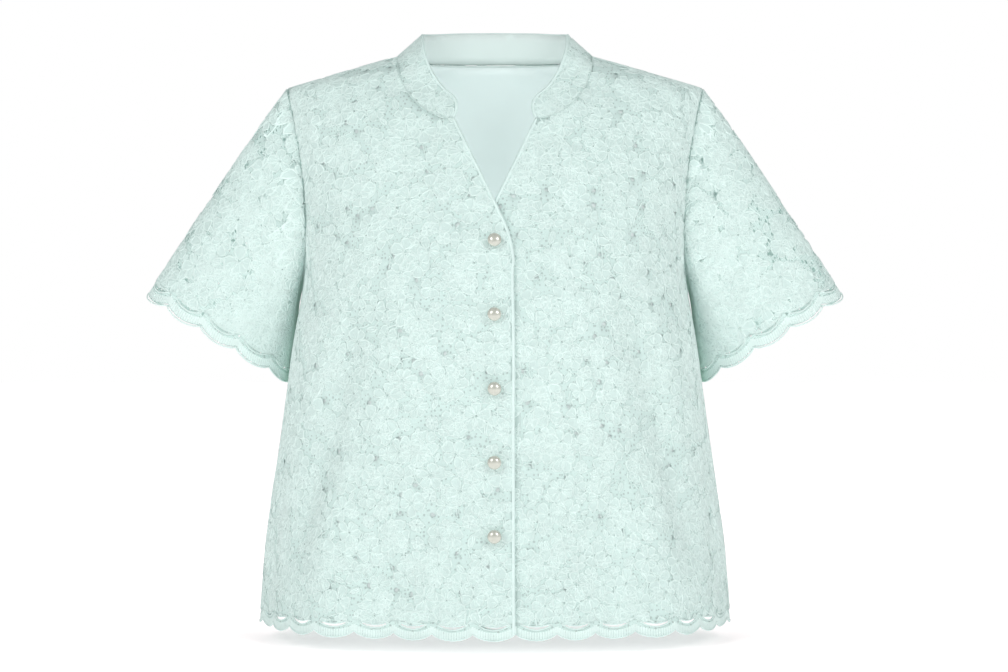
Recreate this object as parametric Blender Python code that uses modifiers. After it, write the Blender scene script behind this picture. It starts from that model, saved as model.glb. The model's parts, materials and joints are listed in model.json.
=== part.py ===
"""Short-sleeved lace shirt, filled out as if it were worn, with nobody in it.

Metres, +Z up. The front faces -Y and the wearer's left is +X. The origin is in the middle of the
neck, level with the points where the collar meets the shoulder seams, where the wearer holds the
shirt up. Every cloth piece is cut flat, as an outline with its gaps, and then laid on a surface
that the functions below work out from the body sizes.
"""

import math
from collections import namedtuple

import bpy
import numpy as np
from mathutils import Vector
from mathutils.geometry import delaunay_2d_cdt

# Cloth
LACE = 0.0012
LINING = 0.0010
SEAM = 0.0003
LINING_IN = 2 * SEAM + LINING

# Triangles smaller than this lie along an outline, and are left out of a cut piece
SLIVER = 5e-8

# Body sizes
NECK_X = 0.1015
NECK_Z = 0.0045
NECK_BACK_Y = 0.080
NECK_POINTS = 13
BORDER = 0.030
MIDDLE_ROUND = 0.20
BODY_CELL = 0.030
BODY_ROWS = ((0.0, 0.48, 0.56, 0.62), (0.0, 0.30, 0.38, 0.51))

# Front opening, as seen from the front
OVERLAP = 0.020
PLACKET_LIFT = 0.0018
PLACKET_FADE = (0.024, 0.055)
PLACKET_ROWS = ((0.024, 0.45), (0.052, 0.50))
PLACKET_ROWS_FOOT = 0.050
V_TOP = (0.041, -0.068)
V_TURN = (-0.006, -0.166)
V_CONTROL = (-0.020, -0.192)
V_FOOT_Z = -0.222
BUTTON_Z = (-0.1946, -0.2672, -0.3396, -0.4120, -0.4846)

# Armholes and sleeves
ARM_CUT = 0.17
ARM_TOP = 0.14
ARM_POINTS = 12
SLEEVE_TIP = Vector((0.3644, 0.0, -0.2459))
SLEEVE_INNER = Vector((0.2236, 0.018, -0.3370))
SLEEVE_DEPTH = 0.048
SLEEVE_AROUND = 0.42
SLEEVE_DOWN = 0.20
SLEEVE_CELL = 0.026
SLEEVE_STRIP = 0.005
SLEEVE_STRIP_ENDS = (0.008, 0.188)
ARMHOLE_CLEAR = 0.0002

# Scalloped edge of the lace, with a crescent slot in each scallop
SCALLOP = 0.041
SCALLOP_DEEP = 0.0065
SCALLOP_STEPS = 6
SCALLOP_BLUNT = 0.7
SLOT_LONG = 0.027
SLOT_HIGH = 0.0046
SLOT_UP = 0.0135
SLOT_SAG = 0.0030
SLOT_CLEAR = 0.004
SLEEVE_SCALLOPS = 10

# Lace repeat: flowers on a staggered grid, with an open gap between every three
REPEAT = 0.032
REPEAT_ROW = REPEAT * math.sqrt(3) / 2
GAP_RADIUS = 0.0031
GAP_SIDES = 5
GAP_CLEAR = 0.012
GAP_SWAY = 0.10
GAP_UNLIKE = 0.12
GAP_SHORT = 0.13

# Collar
COLLAR_CELL = 0.013
COLLAR_END_ROUND = 0.026
COLLAR_WIDE = 0.035
COLLAR_END_IN = 0.0005
COLLAR_INSIDE = np.array([0.0, 0.0, 0.0])

# Buttons
BUTTON_RADIUS = 0.0069
BUTTON_THICK = 0.0080
BUTTON_BEAD_END = -1.23
SHANK_RADIUS = 0.0020
SHANK_LONG = 0.0016
BUTTON_SIDES = 12

# The body's level sections, from the hem to the line along the shoulders, and one just past it
# that rounds the surface over that line. "height" is how far up the cloth a section lies at the
# side, "full" is how square it is, and the two _z columns beside the depths say how high it stands
# at the middle of the front and of the back.
Section = namedtuple("Section", "height half_width side_z front front_z back back_z full")
SECTIONS = [
    Section(0.000, 0.2462, -0.5880, 0.170, -0.588, 0.150, -0.588, 0.57),
    Section(0.090, 0.2386, -0.4980, 0.168, -0.498, 0.146, -0.498, 0.58),
    Section(0.190, 0.2237, -0.3980, 0.166, -0.398, 0.138, -0.398, 0.62),
    Section(0.290, 0.2098, -0.2980, 0.163, -0.298, 0.132, -0.298, 0.67),
    Section(0.363, 0.1985, -0.2250, 0.153, -0.225, 0.133, -0.225, 0.67),
    Section(0.430, 0.2025, -0.1700, 0.135, -0.155, 0.134, -0.150, 0.68),
    Section(0.500, 0.2075, -0.1050, 0.108, -0.085, 0.126, -0.080, 0.72),
    Section(0.560, 0.2140, -0.0550, 0.076, -0.030, 0.101, -0.018, 0.78),
    Section(0.595, 0.2178, -0.0350, 0.045, 0.008, 0.066, 0.011, 0.82),
    Section(0.620, 0.2195, -0.0300, 0.000, 0.0248, 0.000, 0.0248, 0.82),
    Section(0.645, 0.2178, -0.0350, -0.055, 0.0100, -0.055, 0.0100, 0.82),
]
UNDERARM = SECTIONS[4].height
TOP = SECTIONS[-2].height

# Metres from the middle of a section to its side, the measure of a fold's spread
QUARTER_ROUND = 0.31

# Soft folds. Across goes from 0 at the middle to 1 at the side. A trough has a negative rise.
Fold = namedtuple("Fold", "across height foot_across foot_height rise spread")
FRONT_FOLDS = [
    Fold(0.40, 0.380, 0.62, 0.050, -0.0090, 0.028),
    Fold(0.47, 0.220, 0.50, -0.080, 0.0070, 0.030),
    Fold(0.27, 0.150, 0.30, -0.080, -0.0050, 0.028),
    Fold(0.78, 0.200, 0.86, -0.080, -0.0060, 0.030),
]
BACK_FOLDS = [
    Fold(0.55, 0.400, 0.70, -0.080, -0.0080, 0.030),
    Fold(0.18, 0.300, 0.22, -0.080, -0.0060, 0.030),
    Fold(0.43, 0.220, 0.46, -0.080, 0.0065, 0.030),
]

# How the collar's top edge lies from its seam: inwards, backwards and up, from the middle of the
# back (0) past the shoulder (about a half) to its front end (1).
Rise = namedtuple("Rise", "along inward back up")
COLLAR_RISE = [
    Rise(0.00, 0.000, -0.012, 0.0335),
    Rise(0.20, 0.009, -0.009, 0.0325),
    Rise(0.35, 0.019, -0.003, 0.0290),
    Rise(0.48, 0.0263, 0.005, 0.0245),
    Rise(0.62, 0.0270, 0.008, 0.0230),
    Rise(0.74, 0.0262, 0.010, 0.0225),
    Rise(0.84, 0.0243, 0.012, 0.0210),
    Rise(0.92, 0.0192, 0.012, 0.0217),
    Rise(1.00, 0.0136, 0.009, 0.0225),
]

LACE_COLOUR = (0.71, 0.86, 0.82, 1)
LINING_COLOUR = (0.66, 0.82, 0.79, 1)
PEARL_COLOUR = (0.80, 0.77, 0.70, 1)


def eased(keys, values, at):
    """A smooth curve through the values of a table's column, read at any key."""
    keys = np.asarray(keys, float)
    values = np.asarray(values, float)
    slopes = np.gradient(values, keys)
    at = np.clip(np.asarray(at, float), keys[0], keys[-1])
    i = np.clip(np.searchsorted(keys, at, side="right") - 1, 0, len(keys) - 2)
    step = keys[i + 1] - keys[i]
    t = (at - keys[i]) / step
    start = (1 + 2 * t) * (1 - t) ** 2 * values[i] + t * (1 - t) ** 2 * step * slopes[i]
    end = t * t * (3 - 2 * t) * values[i + 1] + t * t * (t - 1) * step * slopes[i + 1]
    return start + end


def column(table, name, at, key="height"):
    keys = [getattr(row, key) for row in table]
    return eased(keys, [getattr(row, name) for row in table], at)


def ramp(low, high, value):
    """0 below low, 1 above high, and smooth between."""
    t = np.clip((np.asarray(value, float) - low) / (high - low), 0, 1)
    return t * t * (3 - 2 * t)


def across_share(across, full):
    """Share of the half width, and of the depth, at a place across a section."""
    s = np.abs(across)
    wide = 3 * (1 - s) ** 2 * s * full + 3 * (1 - s) * s**2 + s**3
    deep = (1 - s) ** 3 + 3 * (1 - s) ** 2 * s + 3 * (1 - s) * s**2 * full
    return np.sign(across) * wide, deep


def fold_rise(folds, across, height):
    """How far the folds move the cloth out, at places on the body."""
    total = np.zeros_like(np.asarray(across, float))
    for fold in folds:
        down = np.clip((fold.height - height) / (fold.height - fold.foot_height), 0, 1)
        middle = fold.across + (fold.foot_across - fold.across) * down
        off = (np.abs(across) - middle) * QUARTER_ROUND / fold.spread
        total += fold.rise * np.exp(-off * off) * ramp(0, 0.35, down) * ramp(1.0, 0.75, down)
    return total


def body_base(front, across, height):
    """The body's surface without folds: one side, at places across and up."""
    across = np.asarray(across, float)
    height = np.asarray(height, float)
    wide, deep = across_share(across, column(SECTIONS, "full", height))
    depth = column(SECTIONS, "front" if front else "back", height)
    middle_z = column(SECTIONS, "front_z" if front else "back_z", height)
    side_z = column(SECTIONS, "side_z", height)
    x = column(SECTIONS, "half_width", height) * wide
    y = depth * deep * (-1 if front else 1)
    round_off = np.hypot(wide, MIDDLE_ROUND) - MIDDLE_ROUND
    z = middle_z + (side_z - middle_z) * round_off / (math.hypot(1, MIDDLE_ROUND) - MIDDLE_ROUND)
    return np.stack([x, y, z], axis=-1)


def body_folded(front, across, height):
    base = body_base(front, across, height)
    angle = np.asarray(across, float) * math.pi / 2
    out = np.stack([np.sin(angle), np.cos(angle) * (-1 if front else 1), 0 * angle], axis=-1)
    folds = FRONT_FOLDS if front else BACK_FOLDS
    return base + out * fold_rise(folds, across, height)[..., None]


def normals_of(surface, u, v, step=1e-3):
    """Unit normals of a surface, by small steps along it; they point as u across v."""
    along_u = surface(u + step, v) - surface(u - step, v)
    along_v = surface(u, v + step) - surface(u, v - step)
    normal = np.cross(along_u, along_v)
    return normal / np.linalg.norm(normal, axis=-1, keepdims=True)


def body(front, across, height, out=0.0):
    """Points of the body, moved out from its surface along its normals."""
    across = np.asarray(across, float)
    height = np.asarray(height, float)

    def surface(u, v):
        return body_folded(front, u, np.clip(v, -0.01, TOP + 0.01))

    level = np.clip(height, 0.001, TOP)
    normal = normals_of(surface, across, level) * (1 if front else -1)
    return body_folded(front, across, height) + normal * np.asarray(out)[..., None]


def hem_arc(front):
    """Places across, and how far round the hem each lies from the middle."""
    across = np.linspace(0, 1, 201)
    line = body_base(front, across, np.zeros_like(across))
    steps = np.linalg.norm(np.diff(line, axis=0), axis=1)
    return across, np.concatenate([[0], np.cumsum(steps)])


HEM = {True: hem_arc(True), False: hem_arc(False)}


def to_across(front, round_hem):
    """Turns a distance round the hem into a place across, keeping its sign."""
    across, arc = HEM[front]
    round_hem = np.asarray(round_hem, float)
    return np.sign(round_hem) * np.interp(np.abs(round_hem), arc, across)


def to_arc(front, place):
    across, arc = HEM[front]
    place = np.asarray(place, float)
    return np.sign(place) * np.interp(np.abs(place), across, arc)


def place_at(front, x, other, axis=2):
    """The place across and up the body at x and z, or with axis 1 at x and y, by Newton steps."""
    aim = np.stack([x, other], axis=-1)
    pick = [0, axis]
    across = np.clip(aim[:, 0] / 0.21, -0.9, 0.9)
    height = np.clip(aim[:, 1] + 0.6, 0.1, TOP - 0.03) if axis == 2 else TOP - 0.03 + 0 * across
    step = 1e-4
    for _ in range(60):
        point = body_base(front, across, height)[:, pick]
        by_across = (body_base(front, across + step, height)[:, pick] - point) / step
        by_height = (body_base(front, across, height - step)[:, pick] - point) / -step
        slope = np.stack([by_across, by_height], axis=-1)
        move = np.linalg.solve(slope, (aim - point)[..., None])[..., 0]
        across = np.clip(across + 0.7 * np.clip(move[:, 0], -0.2, 0.2), -0.999, 0.999)
        height = np.clip(height + 0.7 * np.clip(move[:, 1], -0.1, 0.1), 0.001, TOP)
    return across, height


def spaced(points, step):
    """The same open line, with points about a step apart."""
    points = np.asarray(points, float)
    along = np.concatenate([[0], np.cumsum(np.linalg.norm(np.diff(points, axis=0), axis=1))])
    count = max(2, int(round(along[-1] / step)) + 1)
    at = np.linspace(0, along[-1], count)
    return np.stack([np.interp(at, along, points[:, k]) for k in range(2)], axis=1)


def joined(*lines):
    """One closed outline from lines that follow each other, with no point twice."""
    points = []
    for line in lines:
        for point in line:
            if not points or np.linalg.norm(np.subtract(point, points[-1])) > 1e-5:
                points.append(tuple(point))
    if np.linalg.norm(np.subtract(points[0], points[-1])) < 1e-5:
        points.pop()
    return np.array(points)


def inside(loop, points):
    """True for each point that lies in a closed outline."""
    x, y = points[:, 0, None], points[:, 1, None]
    ax, ay = loop[:, 0], loop[:, 1]
    bx, by = np.roll(ax, -1), np.roll(ay, -1)
    crosses = (ay > y) != (by > y)
    with np.errstate(divide="ignore", invalid="ignore"):
        at = ax + (y - ay) * (bx - ax) / (by - ay)
    return (crosses & (x < at)).sum(axis=1) % 2 == 1


def respaced(points, old, new):
    """Moves flat points up or down, so that cells come closer together where the cloth curves."""
    points = np.array(points, float)
    points[:, 1] = np.interp(points[:, 1], old, new)
    return points


def filled_cut(outline, gaps, cell, rows=((0, 1), (0, 1)), lines=()):
    """A flat piece of cloth with its gaps, as points and triangles.

    Rows says how the cells are spread up the cloth. Lines are rows of points inside the piece,
    beside a seam where the cloth turns sharply.
    """
    loops = [respaced(loop, *rows) for loop in [outline, *gaps]]
    lines = [respaced(line, *rows) for line in lines]
    fixed = np.concatenate(loops + lines)
    edges = []
    start = 0
    for loop in loops:
        count = len(loop)
        edges += [(start + i, start + (i + 1) % count) for i in range(count)]
        start += count
    near = [spaced(np.vstack([loop, loop[:1]]), cell / 4) for loop in loops]
    near += [spaced(line, cell / 4) for line in lines]
    near = np.concatenate(near)
    low, high = loops[0].min(0), loops[0].max(0)
    row_step = cell * math.sqrt(3) / 2
    levels = np.arange(low[1] + row_step / 2, high[1], row_step)
    grid = [
        (x, y)
        for i, y in enumerate(levels)
        for x in np.arange(low[0] + cell / 2 + (i % 2) * cell / 2, high[0], cell)
    ]
    grid = np.array(grid).reshape(-1, 2)
    if len(grid):
        far = np.linalg.norm(grid[:, None] - near[None], axis=2).min(1) > 0.5 * cell
        grid = grid[far & inside(loops[0], grid)]
    points = np.concatenate([fixed, grid])
    made = delaunay_2d_cdt([Vector(p) for p in points * 1000], edges, [], 0, 1e-4)
    flat = np.array([tuple(p) for p in made[0]]) / 1000
    faces = np.array([tuple(face) for face in made[2]])
    middles = flat[faces].mean(axis=1)
    sides = flat[faces[:, 1:]] - flat[faces[:, :1]]
    area = np.abs(sides[:, 0, 0] * sides[:, 1, 1] - sides[:, 0, 1] * sides[:, 1, 0]) / 2
    keep = inside(loops[0], middles) & (area > SLIVER)
    for gap in loops[1:]:
        keep &= ~inside(gap, middles)
    return respaced(flat, *rows[::-1]), faces[keep]


def scallops(start, end, pitch, base, phase=0.0):
    """The scalloped edge of the lace between two places along it, the lowest points at base."""
    first = math.floor((start - phase) / pitch)
    last = math.ceil((end - phase) / pitch)
    places = [phase + (n + k / SCALLOP_STEPS) * pitch
              for n in range(first, last) for k in range(SCALLOP_STEPS)]
    places = [start] + [p for p in places if start + 0.002 < p < end - 0.002] + [end]
    dip = [math.sin(math.pi * (((p - phase) / pitch) % 1.0)) ** SCALLOP_BLUNT
           for p in places]
    return np.array([(p, base + SCALLOP_DEEP * (1 - d)) for p, d in zip(places, dip)])


def slot(middle, base, wide=1.0):
    """The crescent gap over one scallop, curved as the scallop is."""
    lower, upper = [], []
    for k in range(5):
        t = -1 + k / 2
        sag = SLOT_SAG * t * t
        bulge = SLOT_HIGH / 2 * (1 - t * t)
        x = middle + t * SLOT_LONG / 2 * wide
        lower.append((x, base + SLOT_UP + sag - bulge))
        upper.append((x, base + SLOT_UP + sag + bulge))
    return np.array(lower + upper[-2:0:-1])


def cloth_mesh(name, points, faces, thick, material):
    """A cut piece laid in place: its inner face, with Solidify to make a wall with rims."""
    mesh = bpy.data.meshes.new(name)
    mesh.from_pydata([tuple(p) for p in points], [], [tuple(int(i) for i in f) for f in faces])
    mesh.update()
    piece = bpy.data.objects.new(name, mesh)
    SHIRT.objects.link(piece)
    mesh.materials.append(material)
    mesh.shade_smooth()
    wall = piece.modifiers.new("wall", "SOLIDIFY")
    wall.thickness = thick
    wall.offset = 1
    return piece


def facing(points, faces, out_of):
    """Turns the faces so that they look away from an inner point."""
    corners = points[faces]
    normal = np.cross(corners[:, 1] - corners[:, 0], corners[:, 2] - corners[:, 0])
    away = corners.mean(axis=1) - out_of
    if (normal * away).sum() < 0:
        faces = faces[:, ::-1]
    return faces


def armhole(share):
    """The armhole seam from the underarm (0) to the shoulder (1), as places on the body."""
    share = np.asarray(share, float)
    across = 1 - ARM_CUT * np.sin(math.pi * np.sqrt(share)) - ARM_TOP * share
    return across, UNDERARM + (TOP - UNDERARM) * share


def neckline(front):
    """The collar seam, from the shoulder point to the front end or to the middle of the back."""
    turn = np.linspace(0, math.pi / 2, NECK_POINTS)
    if front:
        x = V_TOP[0] + (NECK_X - V_TOP[0]) * np.cos(turn)
        z = NECK_Z + (V_TOP[1] - NECK_Z) * np.sin(turn)
        across, height = place_at(True, x, z)
    else:
        across, height = place_at(False, NECK_X * np.cos(turn), NECK_BACK_Y * np.sin(turn), 1)
    height[0] = TOP
    return across, height


def front_edge():
    """The wearer's left front's edge, from the collar down the V and the placket to the hem."""
    straight = [(V_TOP[0] + (V_TURN[0] - V_TOP[0]) * t, V_TOP[1] + (V_TURN[1] - V_TOP[1]) * t)
                for t in np.linspace(0, 1, 5)]
    foot = (-OVERLAP, V_FOOT_Z)
    turn = [tuple((1 - t) ** 2 * np.array(V_TURN) + 2 * t * (1 - t) * np.array(V_CONTROL)
                  + t * t * np.array(foot)) for t in np.linspace(0, 1, 5)[1:]]
    line = np.array(straight + turn)
    across, height = place_at(True, line[:, 0], line[:, 1])
    placket = to_across(True, -OVERLAP)
    across[-1] = placket
    return np.stack([to_arc(True, across), height], axis=1)


def below_top(front, across):
    """The height that leaves half a seam's gap below the line along the shoulders."""
    drop = body_base(front, across, TOP) - body_base(front, across, TOP - 0.001)
    return TOP - 0.001 * SEAM / 2 / float(np.linalg.norm(drop))


def upper_outline(front, foot):
    """A body panel above the border, the wearer's left half for a front, the whole for the back."""
    arm = np.linspace(0, 1, ARM_POINTS) ** 1.3
    arm_across, arm_height = armhole(arm)
    arm_line = np.stack([to_arc(front, arm_across), arm_height], axis=1)
    arm_line[-1, 1] = below_top(front, arm_across[-1])
    neck_across, neck_height = neckline(front)
    neck = np.stack([to_arc(front, neck_across), neck_height], axis=1)
    neck[0, 1] = below_top(front, neck_across[0])
    side = HEM[front][1][-1] - SEAM / 2
    seam = spaced([(side, foot), (side, UNDERARM)], BODY_CELL * 1.5)
    arm_line[0, 0] = side
    shoulder = spaced([arm_line[-1], neck[0]], BODY_CELL)
    left = [seam, spaced(arm_line, BODY_CELL * 0.5), shoulder, neck]
    if front:
        edge = front_edge()
        down = spaced([tuple(edge[-1]), (edge[-1][0], foot)], BODY_CELL * 1.5)
        v_edge = spaced(edge, BODY_CELL * 0.7)
        hem = spaced([(edge[-1][0], foot), (side, foot)], BODY_CELL)
        return joined(hem, *left, v_edge, down)
    right = [line[::-1] * (-1, 1) for line in left]
    hem = spaced([(-side, foot), (side, foot)], BODY_CELL)
    return joined(hem, *left, *right[::-1])


def lifted(side, arc):
    """How far the overlap moves a front out (the wearer's right) or in (the left)."""
    near = 1 - ramp(PLACKET_FADE[0], PLACKET_FADE[1], np.abs(arc))
    return near * PLACKET_LIFT * -side


def lay_body(front, side, flat, out=0.0):
    """Flat places of a body piece on the body. The wearer's right front is the left, mirrored."""
    across = to_across(front, flat[:, 0])
    lift = lifted(side, flat[:, 0]) if front else np.zeros(len(flat))
    points = body(front, across, flat[:, 1], lift + out)
    return points * (side, 1, 1) if front else points


INNER_POINT = np.array([0.0, 0.0, -0.30])
SLEEVE_INSIDE = np.array([0.26, 0.0, -0.22])


def make_panels(name, front, side, lace, lining):
    """The lace panel above the border, and the lining behind it, made from the same points."""
    outline = upper_outline(front, BORDER + SEAM)
    beside = [spaced([(x, PLACKET_ROWS_FOOT), (x, top)], BODY_CELL * 1.5)
              for x, top in PLACKET_ROWS]
    flat, faces = filled_cut(outline, [], BODY_CELL, BODY_ROWS, beside if front else [])
    for label, out, thick, material in (
        ("lace_" + name, 0.0, LACE, lace),
        ("lining_" + name, -LINING_IN, LINING, lining),
    ):
        points = lay_body(front, side, flat, out)
        turned = facing(points, faces, INNER_POINT)
        cloth_mesh(label, points, turned, thick, material)


def make_border(name, front, side, lace):
    """The scalloped border below the lining, cut from the same lace, with its slots."""
    arc = HEM[front][1][-1] - SEAM / 2
    start = -OVERLAP if front else -arc
    phase = -OVERLAP if front else 0.0
    edge = scallops(start, arc, SCALLOP, 0.0, phase)
    top = spaced([(arc, BORDER), (start, BORDER)], SCALLOP / 3)
    numbers = range(math.floor((start - phase) / SCALLOP), math.ceil((arc - phase) / SCALLOP))
    middles = [phase + (n + 0.5) * SCALLOP for n in numbers]
    room = SLOT_LONG / 2 + SLOT_CLEAR
    gaps = [slot(m, 0.0) for m in middles if start + room < m < arc - room]
    flat, faces = filled_cut(joined(edge, top), gaps, SCALLOP / 2)
    points = lay_body(front, side, flat)
    cloth_mesh("border_" + name, points, facing(points, faces, INNER_POINT), LACE, lace)


def by_length(points):
    along = np.concatenate([[0], np.cumsum(np.linalg.norm(np.diff(points, axis=0), axis=1))])
    return along / along[-1]


def armhole_loop():
    """The wearer's left armhole, from the underarm up the front and down the back."""
    share = np.linspace(0, 1, 160) ** 2
    halves = []
    for front in (True, False):
        across, height = armhole(share)
        points = body_folded(front, across, height)
        clear = np.clip(1 - share * 3, 0, 1)
        sideways = np.abs(normals_of(lambda u, v, f=front: body_base(f, u, v), across,
                                     np.clip(height, 0, TOP - 0.002))[:, 0])
        points[:, 0] += SEAM + LACE * sideways * (1 + 1.5 * clear) + ARMHOLE_CLEAR
        halves.append(points)
    return halves


ARMHOLE = armhole_loop()


def sleeve_hem(turn):
    """The sleeve's lower edge, flat like a lens: 0 at the underarm, a half at the outer tip."""
    middle = np.array((SLEEVE_TIP + SLEEVE_INNER) / 2)
    reach = np.array((SLEEVE_TIP - SLEEVE_INNER) / 2)
    angle = 2 * math.pi * turn
    points = middle - reach * np.cos(angle)[..., None]
    points[..., 1] -= SLEEVE_DEPTH * np.sin(angle)
    return points


HEM_TURN = np.linspace(0, 0.5, 160)
HEM_SHARE = by_length(sleeve_hem(HEM_TURN))


def sleeve_surface(turn, down):
    """The wearer's left sleeve. Turn goes once round it, and down from the armhole to the hem."""
    turn = np.asarray(turn, float) % 1.0
    down = np.asarray(down, float)
    share = np.where(turn < 0.5, turn * 2, 2 - turn * 2)
    top = np.zeros(turn.shape + (3,))
    for points, on in ((ARMHOLE[0], turn < 0.5), (ARMHOLE[1], turn >= 0.5)):
        along = by_length(points)
        for k in range(3):
            top[..., k] = np.where(on, np.interp(share, along, points[:, k]), top[..., k])
    half = np.interp(share, HEM_SHARE, HEM_TURN)
    foot = sleeve_hem(np.where(turn < 0.5, half, 1 - half))
    over = ((1 - np.cos(2 * math.pi * turn)) / 2)[..., None]
    side = np.sin(2 * math.pi * turn)[..., None]
    leave = over * (0.62, 0, -0.785) + (1 - over) * (0.42, 0, -0.91) + side * (0, -0.25, 0)
    leave = leave / np.linalg.norm(leave, axis=-1, keepdims=True)
    arrive = over * (0.5455, 0, -0.838) + (1 - over) * (0.19, 0.10, -0.97)
    reach = 0.05 + 0.11 * over
    t = down[..., None]
    return ((1 - t) ** 3 * top + 3 * (1 - t) ** 2 * t * (top + 0.03 * leave)
            + 3 * (1 - t) * t**2 * (foot - reach * arrive) + t**3 * foot)


def sleeve_scale(turn, down):
    """Metres of cloth for a whole turn, and for the whole way down, at a place."""
    step = 1e-3
    around = (sleeve_surface(turn + step, down) - sleeve_surface(turn - step, down)) / (2 * step)
    low = max(down - step, 0)
    along = (sleeve_surface(turn, down + step) - sleeve_surface(turn, low)) / (down + step - low)
    return np.linalg.norm(around), np.linalg.norm(along)


def lace_gap(turn, down, radius, spin):
    """A rounded gap between flowers, in the sleeve's flat coordinates, at its true size."""
    around, along = sleeve_scale(turn, down)
    points = []
    for k in range(GAP_SIDES):
        angle = spin + 2 * math.pi * k / GAP_SIDES
        x = turn + radius * math.cos(angle) / around
        y = down + radius * math.sin(angle) / along
        points.append((x * SLEEVE_AROUND, y * SLEEVE_DOWN))
    return np.array(points)


def sleeve_gaps(first, last):
    """The lace's open gaps between two lines down the sleeve, one to each repeat.

    Where the sleeve is short, near the underarm, every second row has none.
    """
    gaps = []
    columns = int(round(SLEEVE_AROUND / REPEAT))
    rows = int(SLEEVE_DOWN / REPEAT_ROW) + 2
    for row in range(rows):
        for k in range(columns):
            turn = (k + 0.5 * (row % 2) + 0.25) / columns
            down = (row + 0.45) * REPEAT_ROW / SLEEVE_DOWN
            sway = math.sin(13 * k + 78 * row)
            turn += GAP_SWAY * sway / columns
            around, along = sleeve_scale(turn, min(down, 0.99))
            edge_turn = min(turn - first, last - turn) * around
            edge_down = min(down * along, (1 - down) * along - BORDER)
            crowded = along < GAP_SHORT and row % 2
            if edge_turn < GAP_CLEAR or edge_down < GAP_CLEAR or crowded:
                continue
            gaps.append(lace_gap(turn, down, GAP_RADIUS * (1 + GAP_UNLIKE * sway), 2 * sway))
    return gaps


def make_sleeve(name, side, first, last, lace):
    """One half of a sleeve, from the underarm to its outer line, with scallops and gaps."""
    inset = SEAM / 2 / SLEEVE_AROUND
    start = (first + inset) * SLEEVE_AROUND
    end = (last - inset) * SLEEVE_AROUND
    pitch = SLEEVE_AROUND / SLEEVE_SCALLOPS
    edge = scallops(start, end, pitch, 0.0)
    edge[:, 1] = SLEEVE_DOWN * (1 - edge[:, 1] / np.array(
        [sleeve_scale(x / SLEEVE_AROUND, 0.97)[1] for x in edge[:, 0]]))
    top = spaced([(end, 0.0), (start, 0.0)], SLEEVE_CELL * 0.75)
    outer = spaced([tuple(edge[-1]), (end, 0.0)], SLEEVE_CELL)
    inner = spaced([(start, 0.0), tuple(edge[0])], SLEEVE_CELL)
    gaps = sleeve_gaps(first, last)
    for n in range(SLEEVE_SCALLOPS):
        middle = (n + 0.5) / SLEEVE_SCALLOPS
        if first < middle < last:
            around, along = sleeve_scale(middle, 0.93)
            gap = slot(middle * SLEEVE_AROUND, 0.0, SLEEVE_AROUND / around)
            gap[:, 1] = SLEEVE_DOWN * (1 - gap[:, 1] / along)
            gaps.append(gap)
    beside = [spaced([(x, down) for down in SLEEVE_STRIP_ENDS], SLEEVE_CELL)
              for x in (start + SLEEVE_STRIP, end - SLEEVE_STRIP)]
    flat, faces = filled_cut(joined(edge, outer, top, inner), gaps, SLEEVE_CELL, lines=beside)
    points = sleeve_surface(flat[:, 0] / SLEEVE_AROUND, flat[:, 1] / SLEEVE_DOWN)
    faces = facing(points, faces, SLEEVE_INSIDE)
    if side < 0:
        points = points * (-1, 1, 1)
        faces = faces[:, ::-1]
    cloth_mesh(name, points, faces, LACE, lace)


def collar_seam():
    """The collar's seam on the body, from the middle of the back to the left front end."""
    back_across, back_height = neckline(False)
    front_across, front_height = neckline(True)
    back = [body(False, back_across[::-1], back_height[::-1], out) for out in (0.0, 1.0)]
    front = [body(True, front_across[1:], front_height[1:], out) for out in (0.0, 1.0)]
    line = np.vstack([back[0], front[0]])
    return line, np.vstack([back[1], front[1]]) - line


COLLAR_SEAM, COLLAR_STANDS_ON = collar_seam()
COLLAR_SHARE = by_length(COLLAR_SEAM)
COLLAR_LONG = float(np.linalg.norm(np.diff(COLLAR_SEAM, axis=0), axis=1).sum())


def collar_surface(along, up):
    """The collar: along from 0 at the middle of the back to 1 or -1 at a front end, up 0 to 1."""
    along = np.asarray(along, float)
    share = np.clip(np.abs(along), 0, 1)
    sign = np.where(along < 0, -1.0, 1.0)
    foot = np.stack([eased(COLLAR_SHARE, COLLAR_SEAM[:, k], share) for k in range(3)], axis=-1)
    inward = column(COLLAR_RISE, "inward", share, "along")
    back = column(COLLAR_RISE, "back", share, "along")
    rise = column(COLLAR_RISE, "up", share, "along")
    t = np.asarray(up, float)[..., None]
    top = foot + np.stack([-inward, back, rise], axis=-1)
    point = foot + (top - foot) * t
    point[..., 0] *= sign
    return point


def collar_foot(place):
    """How far up the collar starts: where it stands on the cloth, it clears the wall below it."""
    share = np.asarray(place, float) / COLLAR_LONG
    rise = collar_surface(share, 1.0 + 0 * share) - collar_surface(share, 0 * share)
    rise /= np.linalg.norm(rise, axis=-1, keepdims=True)
    under = np.stack([np.interp(share, COLLAR_SHARE, COLLAR_STANDS_ON[:, k]) for k in range(3)], 1)
    return 2 * SEAM + (LACE + SEAM) * np.clip((rise * under).sum(axis=1), 0, 1)


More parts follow.
